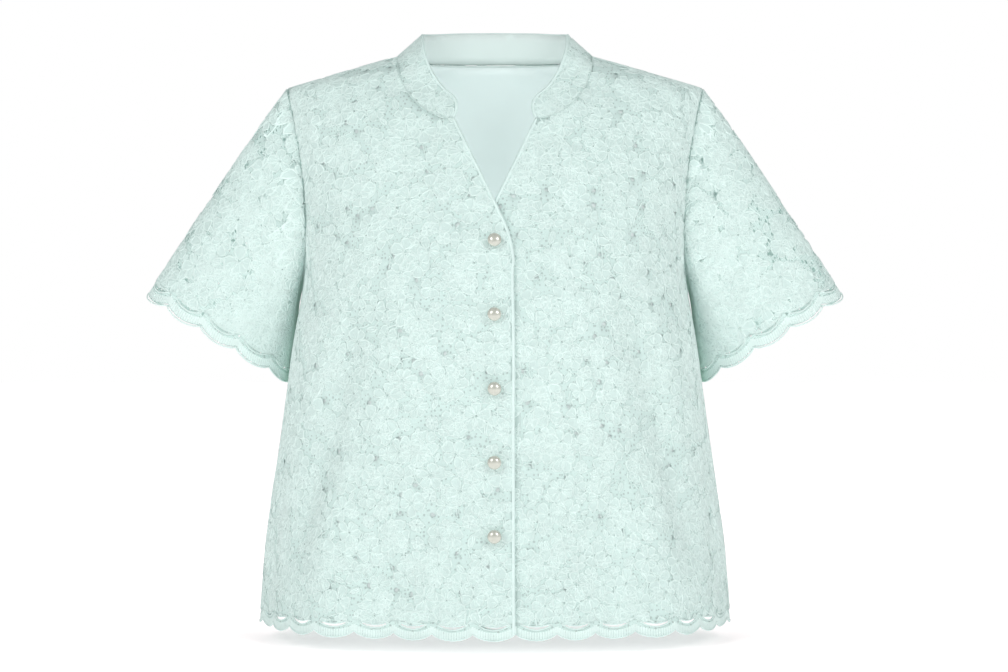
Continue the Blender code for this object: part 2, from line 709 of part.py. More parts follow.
def make_collar(lace, lining):
    """The stand collar: lace outside, a plain band inside, with rounded front ends."""
    width = COLLAR_WIDE
    end = COLLAR_LONG - COLLAR_END_IN
    along_foot = np.minimum(COLLAR_SHARE * COLLAR_LONG, end)
    right = np.stack([along_foot, collar_foot(along_foot)], axis=1)
    foot = right[-1, 1]
    bend = [(end - COLLAR_END_ROUND * (1 - math.cos(a)), foot + (width - foot) * math.sin(a))
            for a in np.linspace(0, math.pi / 2, 7)]
    top_half = np.vstack([bend, spaced([bend[-1], (0.0, width)], COLLAR_CELL)])
    outline = joined(right, top_half, (top_half * (-1, 1))[::-1], (right * (-1, 1))[::-1])
    flat, faces = filled_cut(outline, [], COLLAR_CELL)
    along = flat[:, 0] / COLLAR_LONG
    up = flat[:, 1] / width
    place = collar_surface(along, up)
    normal = normals_of(collar_surface, along, up)
    normal *= np.sign((normal * (place - COLLAR_INSIDE)).sum())
    for name, out, thick, material in (
        ("collar_lace", 0.0, LACE, lace),
        ("collar_band", -LINING_IN, LINING, lining),
    ):
        points = place + normal * out
        cloth_mesh(name, points, facing(points, faces, COLLAR_INSIDE), thick, material)


def make_button(number, z, pearl):
    """A pearl button on its shank, set on the wearer's right front at the middle."""
    bead = [(BUTTON_RADIUS * math.cos(a), BUTTON_THICK / 2 * math.sin(a))
            for a in np.linspace(math.pi / 2, BUTTON_BEAD_END, 9)]
    foot_y = -BUTTON_THICK / 2 - SHANK_LONG
    profile = bead + [(SHANK_RADIUS, bead[-1][1]), (SHANK_RADIUS, foot_y), (0.0, foot_y)]
    profile[0] = (0.0, BUTTON_THICK / 2)
    mesh = bpy.data.meshes.new(f"button_{number}")
    edges = [(i, i + 1) for i in range(len(profile) - 1)]
    mesh.from_pydata([(x, 0.0, h) for x, h in profile], edges, [])
    button = bpy.data.objects.new(f"button_{number}", mesh)
    SHIRT.objects.link(button)
    mesh.materials.append(pearl)
    turned = button.modifiers.new("turned", "SCREW")
    turned.axis = "Z"
    turned.steps = turned.render_steps = BUTTON_SIDES
    turned.use_merge_vertices = True
    turned.merge_threshold = 1e-5
    turned.use_smooth_shade = True
    across, height = place_at(True, np.array([0.0]), np.array([z]))
    flat = np.stack([to_arc(True, across), height], axis=1)
    seat = lay_body(True, -1, flat, LACE + SEAM)[0]
    outer = lay_body(True, -1, flat, LACE + SEAM + 0.01)[0]
    axis = Vector(outer - seat).normalized()
    button.location = Vector(seat) + axis * (BUTTON_THICK / 2 + SHANK_LONG)
    button.rotation_euler = axis.to_track_quat("Z", "Y").to_euler()


def cloth_material(name, colour, rough):
    material = bpy.data.materials.new(name)
    material.use_nodes = True
    shader = material.node_tree.nodes["Principled BSDF"]
    shader.inputs["Base Color"].default_value = colour
    shader.inputs["Roughness"].default_value = rough
    shader.inputs["Metallic"].default_value = 0.0
    material.diffuse_color = colour
    return material


for old in list(bpy.data.objects):
    bpy.data.objects.remove(old, do_unlink=True)
SHIRT = bpy.data.collections.new("lace_shirt")
bpy.context.scene.collection.children.link(SHIRT)


def main():
    lace = cloth_material("lace", LACE_COLOUR, 0.85)
    lining = cloth_material("lining", LINING_COLOUR, 0.6)
    pearl = cloth_material("pearl", PEARL_COLOUR, 0.25)
    for name, front, side in (("front_right", True, -1), ("front_left", True, 1),
                              ("back", False, 1)):
        make_panels(name, front, side, lace, lining)
        make_border(name, front, side, lace)
    for name, side in (("right", -1), ("left", 1)):
        make_sleeve(f"sleeve_{name}_front", side, 0.0, 0.5, lace)
        make_sleeve(f"sleeve_{name}_back", side, 0.5, 1.0, lace)
    make_collar(lace, lining)
    for number, z in enumerate(BUTTON_Z, 1):
        make_button(number, z, pearl)


main()
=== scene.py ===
"""A short-sleeved lace shirt, dressed on its frame: corded flowers on a net over a plain lining.

Metres, +Z up, the front faces -Y and the wearer's left is +X. The frame gives the solids. The same
functions as in their source lay flat cloth on the body, the sleeves and the collar, and every
flower, cord, gap, edge and seam is made flat first and then laid through them.
"""

import json
import math
from collections import namedtuple

import bpy
import numpy as np
from bpy.props import FloatProperty, FloatVectorProperty, IntProperty, PointerProperty
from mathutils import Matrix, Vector
from mathutils.geometry import delaunay_2d_cdt
from mathutils.kdtree import KDTree

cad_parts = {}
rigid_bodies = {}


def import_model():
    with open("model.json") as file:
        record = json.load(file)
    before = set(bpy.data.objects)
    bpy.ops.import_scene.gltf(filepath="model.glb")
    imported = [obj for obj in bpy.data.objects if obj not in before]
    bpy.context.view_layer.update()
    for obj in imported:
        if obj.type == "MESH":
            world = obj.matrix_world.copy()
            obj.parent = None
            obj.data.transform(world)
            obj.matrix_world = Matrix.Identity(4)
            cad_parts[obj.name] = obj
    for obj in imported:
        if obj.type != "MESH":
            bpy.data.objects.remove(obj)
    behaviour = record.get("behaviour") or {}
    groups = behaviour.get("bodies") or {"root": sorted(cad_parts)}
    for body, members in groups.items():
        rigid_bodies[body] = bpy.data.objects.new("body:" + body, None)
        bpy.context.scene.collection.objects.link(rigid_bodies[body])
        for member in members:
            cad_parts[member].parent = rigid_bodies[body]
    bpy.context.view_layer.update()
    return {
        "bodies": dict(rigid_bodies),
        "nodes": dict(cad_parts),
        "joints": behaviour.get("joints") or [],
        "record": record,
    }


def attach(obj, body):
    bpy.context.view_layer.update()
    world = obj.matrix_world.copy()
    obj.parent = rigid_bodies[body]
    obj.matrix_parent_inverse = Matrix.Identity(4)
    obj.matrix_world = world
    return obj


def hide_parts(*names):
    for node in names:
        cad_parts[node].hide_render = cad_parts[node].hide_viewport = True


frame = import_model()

bl_info = {
    "name": "Lace shirt",
    "version": (1, 0, 0),
    "blender": (4, 5, 0),
    "location": "View3D > Sidebar > Lace shirt",
    "description": "Dresses the lace shirt: ground, flowers, cords, linings, edges, pearls and stage",
    "category": "Add Mesh",
}

# Cloth
LACE = 0.0012
LINING = 0.0010
SEAM = 0.0003
LINING_IN = 2 * SEAM + LINING

# The net lies just over the body's surface, and all that is sewn on it starts at its outer face
NET_OUT = 0.0002
NET_THICK = 0.0004
ON_NET = 0.0006

# Triangles smaller than this lie along an outline, and are left out of a cut piece
SLIVER = 2e-8

# Body sizes
NECK_X = 0.1015
NECK_Z = 0.0045
NECK_BACK_Y = 0.080
NECK_POINTS = 25
BORDER = 0.030
MIDDLE_ROUND = 0.20

# Front opening
OVERLAP = 0.020
PLACKET_LIFT = 0.0018
PLACKET_FADE = (0.024, 0.055)
V_TOP = (0.041, -0.068)
V_TURN = (-0.006, -0.166)
V_CONTROL = (-0.020, -0.192)
V_FOOT_Z = -0.222
# Where a darker strip runs down the left front: painted shadow beside the right front's edge
UNDERLAP = 0.0235
UNDERLAP_TOP, UNDERLAP_FOOT = 0.335, 0.016
BUTTON_Z = (-0.1946, -0.2672, -0.3396, -0.4120, -0.4846)

# Armholes and sleeves
ARM_CUT = 0.17
ARM_TOP = 0.14
SLEEVE_TIP = Vector((0.3644, 0.0, -0.2459))
SLEEVE_INNER = Vector((0.2180, 0.018, -0.3370))
SLEEVE_DEPTH = 0.048
SLEEVE_AROUND = 0.42
SLEEVE_DOWN = 0.20
ARMHOLE_CLEAR = 0.0002

# Which way a sleeve leaves its armhole and comes to its hem, over the arm and under it
LEAVE_OVER = (0.62, 0, -0.785)
LEAVE_UNDER = (0.33, 0, -0.94)
LEAVE_SIDEWAYS = (0, -0.25, 0)
LEAVE_REACH = 0.03
ARRIVE_OVER = (0.5455, 0, -0.838)
ARRIVE_UNDER = (0.19, 0.10, -0.97)
ARRIVE_REACH_UNDER = 0.05
ARRIVE_REACH_MORE_OVER = 0.11

# Painted shade under an arm: it lies along the fold, from the fold's top to the inner corner of the
# sleeve's hem
UNDERARM_SHADE_TOP = Vector((0.2000, 0.0, -0.2300))
UNDERARM_SHADE_WIDE = 0.017

# Scalloped edge, with a crescent slot in each scallop
SCALLOP = 0.041
SCALLOP_DEEP = 0.0065
SCALLOP_STEPS = 12
SCALLOP_BLUNT = 0.7
SLOT_LONG = 0.030
SLOT_HIGH = 0.0019
SLOT_UP = 0.0128
SLOT_SAG = 0.0040
SLOT_CLEAR = 0.004
RIB_FOOT = 0.0010
RIB_TOP = 0.0088
RIB_SPACING = 0.0026
SLEEVE_SCALLOPS = 10

# Collar
COLLAR_END_ROUND = 0.026
COLLAR_WIDE = 0.035
COLLAR_END_IN = 0.0005

INNER_POINT = np.array([0.0, 0.0, -0.30])
SLEEVE_INSIDE = np.array([0.26, 0.0, -0.22])
COLLAR_INSIDE = np.array([0.0, 0.0, 0.0])

# How far apart points lie along the outlines of the lace and of the lining, and inside them
OUTLINE_STEP = 0.006
LINING_STEP = 0.008
LINING_FOOT_STEP = 0.010
LINING_CELL = 0.012
BAND_CELL = 0.008

# The panels of the body, as name, whether it is a front, and side; and the two sides
PANELS = (("front_right", True, -1), ("front_left", True, 1), ("back", False, 1))
SIDES = (("right", -1), ("left", 1))

# The body's level sections, from the hem to the line along the shoulders and one past it
Section = namedtuple("Section", "height half_width side_z front front_z back back_z full")
SECTIONS = [
    Section(0.000, 0.2462, -0.5880, 0.170, -0.588, 0.150, -0.588, 0.57),
    Section(0.090, 0.2386, -0.4980, 0.168, -0.498, 0.146, -0.498, 0.58),
    Section(0.190, 0.2237, -0.3980, 0.166, -0.398, 0.138, -0.398, 0.62),
    Section(0.290, 0.2098, -0.2980, 0.163, -0.298, 0.132, -0.298, 0.67),
    Section(0.363, 0.1985, -0.2250, 0.153, -0.225, 0.133, -0.225, 0.67),
    Section(0.430, 0.2025, -0.1700, 0.135, -0.155, 0.134, -0.150, 0.68),
    Section(0.500, 0.2075, -0.1050, 0.108, -0.085, 0.126, -0.080, 0.72),
    Section(0.560, 0.2140, -0.0550, 0.076, -0.030, 0.101, -0.018, 0.78),
    Section(0.595, 0.2178, -0.0350, 0.045, 0.008, 0.066, 0.011, 0.82),
    Section(0.620, 0.2195, -0.0300, 0.000, 0.0248, 0.000, 0.0248, 0.82),
    Section(0.645, 0.2178, -0.0350, -0.055, 0.0100, -0.055, 0.0100, 0.82),
]
UNDERARM = SECTIONS[4].height
TOP = SECTIONS[-2].height

# Metres from the middle of a section to its side, the measure of a fold's spread
QUARTER_ROUND = 0.31

# Soft folds. Across goes from 0 at the middle to 1 at the side. A trough has a negative rise.
Fold = namedtuple("Fold", "across height foot_across foot_height rise spread")
FRONT_FOLDS = [
    Fold(0.40, 0.380, 0.62, 0.050, -0.0090, 0.028),
    Fold(0.47, 0.220, 0.50, -0.080, 0.0070, 0.030),
    Fold(0.27, 0.150, 0.30, -0.080, -0.0050, 0.028),
    Fold(0.78, 0.200, 0.86, -0.080, -0.0060, 0.030),
]
BACK_FOLDS = [
    Fold(0.55, 0.400, 0.70, -0.080, -0.0080, 0.030),
    Fold(0.18, 0.300, 0.22, -0.080, -0.0060, 0.030),
    Fold(0.43, 0.220, 0.46, -0.080, 0.0065, 0.030),
]

# How the collar's top edge lies from its seam, from the middle of the back (0) to its end (1)
Rise = namedtuple("Rise", "along inward back up")
COLLAR_RISE = [
    Rise(0.00, 0.000, -0.012, 0.0335),
    Rise(0.20, 0.009, -0.009, 0.0325),
    Rise(0.35, 0.019, -0.003, 0.0290),
    Rise(0.48, 0.0263, 0.005, 0.0245),
    Rise(0.62, 0.0270, 0.008, 0.0230),
    Rise(0.74, 0.0262, 0.010, 0.0225),
    Rise(0.84, 0.0243, 0.012, 0.0210),
    Rise(0.92, 0.0192, 0.012, 0.0217),
    Rise(1.00, 0.0136, 0.009, 0.0225),
]

# The cuts, as width, length and flat area of what shows
Cut = namedtuple("Cut", "wide long area")

# Camera: level, straight in front, framed as the photo is
CAMERA_PLACE = (0.00945, -2.6, -0.2877)
CAMERA_LENS = 88.4
CAMERA_SENSOR = 36.0
CAMERA_SEES = 60

# A faint painted glow in the cloth's own colour, standing in for the light that comes through thin
# cloth
PAINTED_GLOW_LACE = 0.08
PAINTED_GLOW_LINING = 0.06
PAINTED_GLOW_BAND = 0.08

# Floor: it glows white, with a painted shadow that is greyer in an oval under the shirt, from the
# oval's middle (near) to its rim (far)
FLOOR_Z = -0.604
FLOOR_CORNERS = ((-8, -6), (8, -6), (8, 14), (-8, 14))
FLOOR_COLOUR = (0.86, 0.79, 0.80, 1)
FLOOR_GLOW = 0.72
FLOOR_NEAR, FLOOR_FAR = 0.05, 0.17
FLOOR_OVAL = (0.30, 1.0, 0.0)
FLOOR_SHADOW_GREY = (0.55, 0.54, 0.54, 1)

# Soft studio light
AMBIENT = 0.39
SHIRT_MIDDLE = (0, 0, -0.25)
Lamp = namedtuple("Lamp", "name place aim wide power")
LAMPS = (
    Lamp("softbox_right", (-1.5, -2.1, 1.0), SHIRT_MIDDLE, 1.2, 24),
    Lamp("softbox_left", (1.5, -2.1, 1.0), SHIRT_MIDDLE, 1.2, 24),
    Lamp("back_fill", (0, 3.2, 1.4), SHIRT_MIDDLE, 1.6, 22),
    Lamp("inside_neck", (0, -0.055, -0.16), (0, 0.10, -0.13), 0.11, 0.17),
    Lamp("inside_sleeve_right", (-0.255, 0.005, -0.30), (-0.25, 0, -0.10), 0.06, 0.014),
    Lamp("inside_sleeve_left", (0.255, 0.005, -0.30), (0.25, 0, -0.10), 0.06, 0.014),
)

# How many points are looked at in one go, against an outline
INSIDE_BATCH = 20000
SNAP_BATCH = 5000


# Curves and surfaces


def eased(keys, values, at):
    """A smooth curve through the values of a table's column, read at any key."""
    keys = np.asarray(keys, float)
    values = np.asarray(values, float)
    slopes = np.gradient(values, keys)
    at = np.clip(np.asarray(at, float), keys[0], keys[-1])
    i = np.clip(np.searchsorted(keys, at, side="right") - 1, 0, len(keys) - 2)
    step = keys[i + 1] - keys[i]
    t = (at - keys[i]) / step
    start = (1 + 2 * t) * (1 - t) ** 2 * values[i] + t * (1 - t) ** 2 * step * slopes[i]
    end = t * t * (3 - 2 * t) * values[i + 1] + t * t * (t - 1) * step * slopes[i + 1]
    return start + end


def column(table, name, at, key="height"):
    """One column of a table, read at any key."""
    keys = [getattr(row, key) for row in table]
    return eased(keys, [getattr(row, name) for row in table], at)


def ramp(low, high, value):
    """0 below low, 1 above high, and smooth between."""
    t = np.clip((np.asarray(value, float) - low) / (high - low), 0, 1)
    return t * t * (3 - 2 * t)


def across_share(across, full):
    """Share of the half width, and of the depth, at a place across a section."""
    s = np.abs(across)
    wide = 3 * (1 - s) ** 2 * s * full + 3 * (1 - s) * s**2 + s**3
    deep = (1 - s) ** 3 + 3 * (1 - s) ** 2 * s + 3 * (1 - s) * s**2 * full
    return np.sign(across) * wide, deep


def fold_rise(folds, across, height):
    """How far the folds move the cloth out, at places on the body."""
    total = np.zeros_like(np.asarray(across, float))
    for fold in folds:
        down = np.clip((fold.height - height) / (fold.height - fold.foot_height), 0, 1)
        middle = fold.across + (fold.foot_across - fold.across) * down
        off = (np.abs(across) - middle) * QUARTER_ROUND / fold.spread
        total += fold.rise * np.exp(-off * off) * ramp(0, 0.35, down) * ramp(1.0, 0.75, down)
    return total


def body_base(front, across, height):
    """The body's surface without folds: one side, at places across and up."""
    across = np.asarray(across, float)
    height = np.asarray(height, float)
    wide, deep = across_share(across, column(SECTIONS, "full", height))
    depth = column(SECTIONS, "front" if front else "back", height)
    middle_z = column(SECTIONS, "front_z" if front else "back_z", height)
    side_z = column(SECTIONS, "side_z", height)
    x = column(SECTIONS, "half_width", height) * wide
    y = depth * deep * (-1 if front else 1)
    round_off = np.hypot(wide, MIDDLE_ROUND) - MIDDLE_ROUND
    z = middle_z + (side_z - middle_z) * round_off / (math.hypot(1, MIDDLE_ROUND) - MIDDLE_ROUND)
    return np.stack([x, y, z], axis=-1)


def body_folded(front, across, height):
    """The body's surface with its folds."""
    base = body_base(front, across, height)
    angle = np.asarray(across, float) * math.pi / 2
    out = np.stack([np.sin(angle), np.cos(angle) * (-1 if front else 1), 0 * angle], axis=-1)
    folds = FRONT_FOLDS if front else BACK_FOLDS
    return base + out * fold_rise(folds, across, height)[..., None]


def normals_of(surface, u, v, step=1e-3):
    """Unit normals of a surface, by small steps along it; they point as u across v."""
    along_u = surface(u + step, v) - surface(u - step, v)
    along_v = surface(u, v + step) - surface(u, v - step)
    normal = np.cross(along_u, along_v)
    return normal / np.linalg.norm(normal, axis=-1, keepdims=True)


def body(front, across, height, out=0.0):
    """Points of the body, moved out from its surface along its normals."""
    across = np.asarray(across, float)
    height = np.asarray(height, float)

    def surface(u, v):
        return body_folded(front, u, np.clip(v, -0.01, TOP + 0.01))

    level = np.clip(height, 0.001, TOP)
    normal = normals_of(surface, across, level) * (1 if front else -1)
    return body_folded(front, across, height) + normal * np.asarray(out)[..., None]


def hem_arc(front):
    """Places across, and how far round the hem each lies from the middle."""
    across = np.linspace(0, 1, 201)
    line = body_base(front, across, np.zeros_like(across))
    steps = np.linalg.norm(np.diff(line, axis=0), axis=1)
    return across, np.concatenate([[0], np.cumsum(steps)])


HEM = {True: hem_arc(True), False: hem_arc(False)}


def to_across(front, round_hem):
    """Turns a distance round the hem into a place across, keeping its sign."""
    across, arc = HEM[front]
    round_hem = np.asarray(round_hem, float)
    return np.sign(round_hem) * np.interp(np.abs(round_hem), arc, across)


def to_arc(front, place):
    """Turns a place across into a distance round the hem, keeping its sign."""
    across, arc = HEM[front]
    place = np.asarray(place, float)
    return np.sign(place) * np.interp(np.abs(place), across, arc)


def place_at(front, x, other, axis=2):
    """The place across and up the body at x and z, or with axis 1 at x and y, by Newton steps."""
    aim = np.stack([x, other], axis=-1)
    pick = [0, axis]
    across = np.clip(aim[:, 0] / 0.21, -0.9, 0.9)
    height = np.clip(aim[:, 1] + 0.6, 0.1, TOP - 0.03) if axis == 2 else TOP - 0.03 + 0 * across
    step = 1e-4
    for _ in range(60):
        point = body_base(front, across, height)[:, pick]
        by_across = (body_base(front, across + step, height)[:, pick] - point) / step
        by_height = (body_base(front, across, height - step)[:, pick] - point) / -step
        slope = np.stack([by_across, by_height], axis=-1)
        move = np.linalg.solve(slope, (aim - point)[..., None])[..., 0]
        across = np.clip(across + 0.7 * np.clip(move[:, 0], -0.2, 0.2), -0.999, 0.999)
        height = np.clip(height + 0.7 * np.clip(move[:, 1], -0.1, 0.1), 0.001, TOP)
    return across, height


def by_length(points):
    """How far along a line each of its points lies, from 0 to 1."""
    along = np.concatenate([[0], np.cumsum(np.linalg.norm(np.diff(points, axis=0), axis=1))])
    return along / along[-1]


# Outlines of the cut pieces


def spaced(points, step):
    """The same open line, with points about a step apart."""
    points = np.asarray(points, float)
    along = np.concatenate([[0], np.cumsum(np.linalg.norm(np.diff(points, axis=0), axis=1))])
    count = max(2, int(round(along[-1] / step)) + 1)
    at = np.linspace(0, along[-1], count)
    return np.stack([np.interp(at, along, points[:, k]) for k in range(points.shape[1])], axis=1)


def joined(*lines):
    """One closed outline from lines that follow each other, with no point twice."""
    points = []
    for line in lines:
        for point in line:
            if not points or np.linalg.norm(np.subtract(point, points[-1])) > 1e-5:
                points.append(tuple(point))
    if np.linalg.norm(np.subtract(points[0], points[-1])) < 1e-5:
        points.pop()
    return np.array(points)


def inside(loop, points):
    """True for each point that lies in a closed outline."""
    found = np.zeros(len(points), bool)
    ax, ay = loop[:, 0], loop[:, 1]
    bx, by = np.roll(ax, -1), np.roll(ay, -1)
    for start in range(0, len(points), INSIDE_BATCH):
        batch = slice(start, start + INSIDE_BATCH)
        x, y = points[batch, 0, None], points[batch, 1, None]
        crosses = (ay > y) != (by > y)
        with np.errstate(divide="ignore", invalid="ignore"):
            at = ax + (y - ay) * (bx - ax) / (by - ay)
        found[batch] = (crosses & (x < at)).sum(axis=1) % 2 == 1
    return found


def snapped(loop, points):
    """Points moved to the nearest place on a closed outline."""
    a = loop
    b = np.roll(loop, -1, axis=0)
    side = b - a
    long = (side**2).sum(axis=1)
    moved = np.empty_like(points)
    for start in range(0, len(points), SNAP_BATCH):
        batch = slice(start, start + SNAP_BATCH)
        p = points[batch, None, :]
        t = np.clip(((p - a) * side).sum(axis=2) / long, 0, 1)
        on = a + t[..., None] * side
        best = ((p - on) ** 2).sum(axis=2).argmin(axis=1)
        moved[batch] = on[np.arange(len(best)), best]
    return moved


def armhole(share):
    """The armhole seam from the underarm (0) to the shoulder (1), as places on the body."""
    share = np.asarray(share, float)
    across = 1 - ARM_CUT * np.sin(math.pi * np.sqrt(share)) - ARM_TOP * share
    return across, UNDERARM + (TOP - UNDERARM) * share


def neckline(front):
    """The collar seam, from the shoulder point to the front end or to the middle of the back."""
    turn = np.linspace(0, math.pi / 2, NECK_POINTS)
    if front:
        x = V_TOP[0] + (NECK_X - V_TOP[0]) * np.cos(turn)
        z = NECK_Z + (V_TOP[1] - NECK_Z) * np.sin(turn)
        across, height = place_at(True, x, z)
    else:
        across, height = place_at(False, NECK_X * np.cos(turn), NECK_BACK_Y * np.sin(turn), 1)
    height[0] = TOP
    return across, height


def front_edge():
    """A front's edge, from the collar down the V to where the placket starts."""
    straight = [(V_TOP[0] + (V_TURN[0] - V_TOP[0]) * t, V_TOP[1] + (V_TURN[1] - V_TOP[1]) * t)
                for t in np.linspace(0, 1, 9)]
    foot = (-OVERLAP, V_FOOT_Z)
    turn = [tuple((1 - t) ** 2 * np.array(V_TURN) + 2 * t * (1 - t) * np.array(V_CONTROL)
                  + t * t * np.array(foot)) for t in np.linspace(0, 1, 9)[1:]]
    line = np.array(straight + turn)
    across, height = place_at(True, line[:, 0], line[:, 1])
    across[-1] = to_across(True, -OVERLAP)
    return np.stack([to_arc(True, across), height], axis=1)


def scallops(start, end, pitch, base, phase=0.0):
    """The scalloped edge of the lace between two places along it, the lowest points at base."""
    first = math.floor((start - phase) / pitch)
    last = math.ceil((end - phase) / pitch)
    places = [phase + (n + k / SCALLOP_STEPS) * pitch
              for n in range(first, last) for k in range(SCALLOP_STEPS)]
    places = [start] + [p for p in places if start + 0.002 < p < end - 0.002] + [end]
    dip = [math.sin(math.pi * (((p - phase) / pitch) % 1.0)) ** SCALLOP_BLUNT for p in places]
    return np.array([(p, base + SCALLOP_DEEP * (1 - d)) for p, d in zip(places, dip)])


def slot(middle, base, wide=1.0):
    """The crescent gap over one scallop, curved as the scallop is."""
    lower, upper = [], []
    for k in range(9):
        t = -1 + k / 4
        sag = SLOT_SAG * t * t
        bulge = SLOT_HIGH / 2 * (1 - t * t)
        x = middle + t * SLOT_LONG / 2 * wide
        lower.append((x, base + SLOT_UP + sag - bulge))
        upper.append((x, base + SLOT_UP + sag + bulge))
    return np.array(lower + upper[-2:0:-1])


def border_ribs(low):
    """Short lines up from the scalloped edge, where the border's close stitches run."""
    return [np.array([(p, y + RIB_FOOT), (p, y + RIB_TOP)]) for p, y in spaced(low, RIB_SPACING)]


# Where a flat cut goes: a function that lays it, its outlines, slots and the border's ribs
Pattern = namedtuple("Pattern", "name lay outline field slots edge hem ribs within")


def lifted(side, arc):
    """How far the overlap moves a front out (the wearer's right) or in (the left)."""
    near = 1 - ramp(PLACKET_FADE[0], PLACKET_FADE[1], np.abs(arc))
    return near * PLACKET_LIFT * -side


def lay_body(front, side, flat, out=0.0):
    """Flat places of a body piece on the body. The wearer's right front is the left, mirrored."""
    across = to_across(front, flat[:, 0])
    lift = lifted(side, flat[:, 0]) if front else np.zeros(len(flat))
    points = body(front, across, flat[:, 1], lift + out)
    return points * (side, 1, 1) if front else points


def panel_sides(front, foot, cell):
    """The side seam, armhole, shoulder and neckline of a panel's left half, from its foot up."""
    arm_across, arm_height = armhole(np.linspace(0, 1, 40) ** 1.3)
    arm_line = np.stack([to_arc(front, arm_across), arm_height], axis=1)
    neck_across, neck_height = neckline(front)
    neck = np.stack([to_arc(front, neck_across), neck_height], axis=1)
    side = HEM[front][1][-1] - SEAM / 2
    arm_line[0, 0] = side
    arm_line[-1, 1] = neck[0, 1] = TOP - SEAM / 2
    seam = spaced([(side, foot), (side, UNDERARM)], cell)
    shoulder = spaced([arm_line[-1], neck[0]], cell)
    return [seam, spaced(arm_line, cell), shoulder, neck]


def panel_outline(front, low, cell):
    """A closed panel above a lower line: the left half for a front, the whole for the back."""
    left = panel_sides(front, low[-1, 1], cell)
    if front:
        edge = front_edge()
        down = spaced([tuple(edge[-1]), (edge[-1, 0], low[0, 1])], cell)
        return joined(low, *left, spaced(edge, cell), down)
    right = [line[::-1] * (-1, 1) for line in panel_sides(front, low[0, 1], cell)]
    return joined(low, *left, *right[::-1])


def body_pattern(name, front, side):
    """The lace cut of a front or of the back, its slots, and the field that the flowers fill."""
    arc = HEM[front][1][-1] - SEAM / 2
    start = -OVERLAP if front else -arc
    phase = -OVERLAP if front else 0.0
    low = scallops(start, arc, SCALLOP, 0.0, phase)
    numbers = range(math.floor((start - phase) / SCALLOP), math.ceil((arc - phase) / SCALLOP))
    middles = [phase + (n + 0.5) * SCALLOP for n in numbers]
    room = SLOT_LONG / 2 + SLOT_CLEAR
    slots = [slot(m, 0.0) for m in middles if start + room < m < arc - room]
    field_low = low + (0, SLOT_UP + SLOT_HIGH / 2)
    edge = None
    if front:
        line = front_edge()
        down = spaced([tuple(line[-1]), (line[-1, 0], low[0, 1])], OUTLINE_STEP)
        edge = np.vstack([line, down[1:]])
    return Pattern(
        name,
        lambda flat, out=0.0: lay_body(front, side, flat, out),
        panel_outline(front, low, OUTLINE_STEP),
        panel_outline(front, field_low, OUTLINE_STEP),
        slots,
        edge,
        low,
        border_ribs(low),
        INNER_POINT,
    )


def lining_pattern(name, front, side):
    """The plain lining of a front or of the back, down to the border."""
    arc = HEM[front][1][-1] - SEAM / 2
    low = spaced([(-OVERLAP if front else -arc, BORDER), (arc, BORDER)], LINING_FOOT_STEP)
    outline = panel_outline(front, low, LINING_STEP)
    return Pattern(name, lambda flat, out=0.0: lay_body(front, side, flat, out), outline, outline,
                   [], None, None, [], INNER_POINT)


def armhole_loop():
    """The wearer's left armhole, from the underarm up the front and down the back."""
    share = np.linspace(0, 1, 160) ** 2
    halves = []
    for front in (True, False):
        across, height = armhole(share)
        points = body_folded(front, across, height)
        clear = np.clip(1 - share * 3, 0, 1)
        sideways = np.abs(normals_of(lambda u, v, f=front: body_base(f, u, v), across,
                                     np.clip(height, 0, TOP - 0.002))[:, 0])
        points[:, 0] += SEAM + LACE * sideways * (1 + 1.5 * clear) + ARMHOLE_CLEAR
        halves.append(points)
    return halves


ARMHOLE = armhole_loop()


def sleeve_hem(turn):
    """The sleeve's lower edge, flat like a lens: 0 at the underarm, a half at the outer tip."""
    middle = np.array((SLEEVE_TIP + SLEEVE_INNER) / 2)
    reach = np.array((SLEEVE_TIP - SLEEVE_INNER) / 2)
    angle = 2 * math.pi * turn
    points = middle - reach * np.cos(angle)[..., None]
    points[..., 1] -= SLEEVE_DEPTH * np.sin(angle)
    return points


HEM_TURN = np.linspace(0, 0.5, 160)
HEM_SHARE = by_length(sleeve_hem(HEM_TURN))


def sleeve_surface(turn, down):
    """The wearer's left sleeve. Turn goes once round it, and down from the armhole to the hem."""
    turn = np.asarray(turn, float) % 1.0
    down = np.asarray(down, float)
    share = np.where(turn < 0.5, turn * 2, 2 - turn * 2)
    top = np.zeros(turn.shape + (3,))
    for points, on in ((ARMHOLE[0], turn < 0.5), (ARMHOLE[1], turn >= 0.5)):
        along = by_length(points)
        for k in range(3):
            top[..., k] = np.where(on, np.interp(share, along, points[:, k]), top[..., k])
    half = np.interp(share, HEM_SHARE, HEM_TURN)
    foot = sleeve_hem(np.where(turn < 0.5, half, 1 - half))
    over = ((1 - np.cos(2 * math.pi * turn)) / 2)[..., None]
    side = np.sin(2 * math.pi * turn)[..., None]
    leave = over * LEAVE_OVER + (1 - over) * LEAVE_UNDER + side * LEAVE_SIDEWAYS
    leave = leave / np.linalg.norm(leave, axis=-1, keepdims=True)
    arrive = over * ARRIVE_OVER + (1 - over) * ARRIVE_UNDER
    reach = ARRIVE_REACH_UNDER + ARRIVE_REACH_MORE_OVER * over
    t = down[..., None]
    return ((1 - t) ** 3 * top + 3 * (1 - t) ** 2 * t * (top + LEAVE_REACH * leave)
            + 3 * (1 - t) * t**2 * (foot - reach * arrive) + t**3 * foot)


def lay_sleeve(side, flat, out=0.0):
    """Flat places of a sleeve, as turn and down in metres, laid on it and moved out."""
    turn, down = flat[:, 0] / SLEEVE_AROUND, flat[:, 1] / SLEEVE_DOWN
    normal = -normals_of(sleeve_surface, turn, np.clip(down, 0.002, 0.998))
    points = sleeve_surface(turn, down) + normal * np.asarray(out)[..., None]
    return points * (side, 1, 1)


def sleeve_long(turn, down):
    """Metres of cloth for the whole way down the sleeve, at a place."""
    step = 1e-3
    along = sleeve_surface(turn, down + step) - sleeve_surface(turn, down - step)
    return np.linalg.norm(along, axis=-1) / (2 * step)


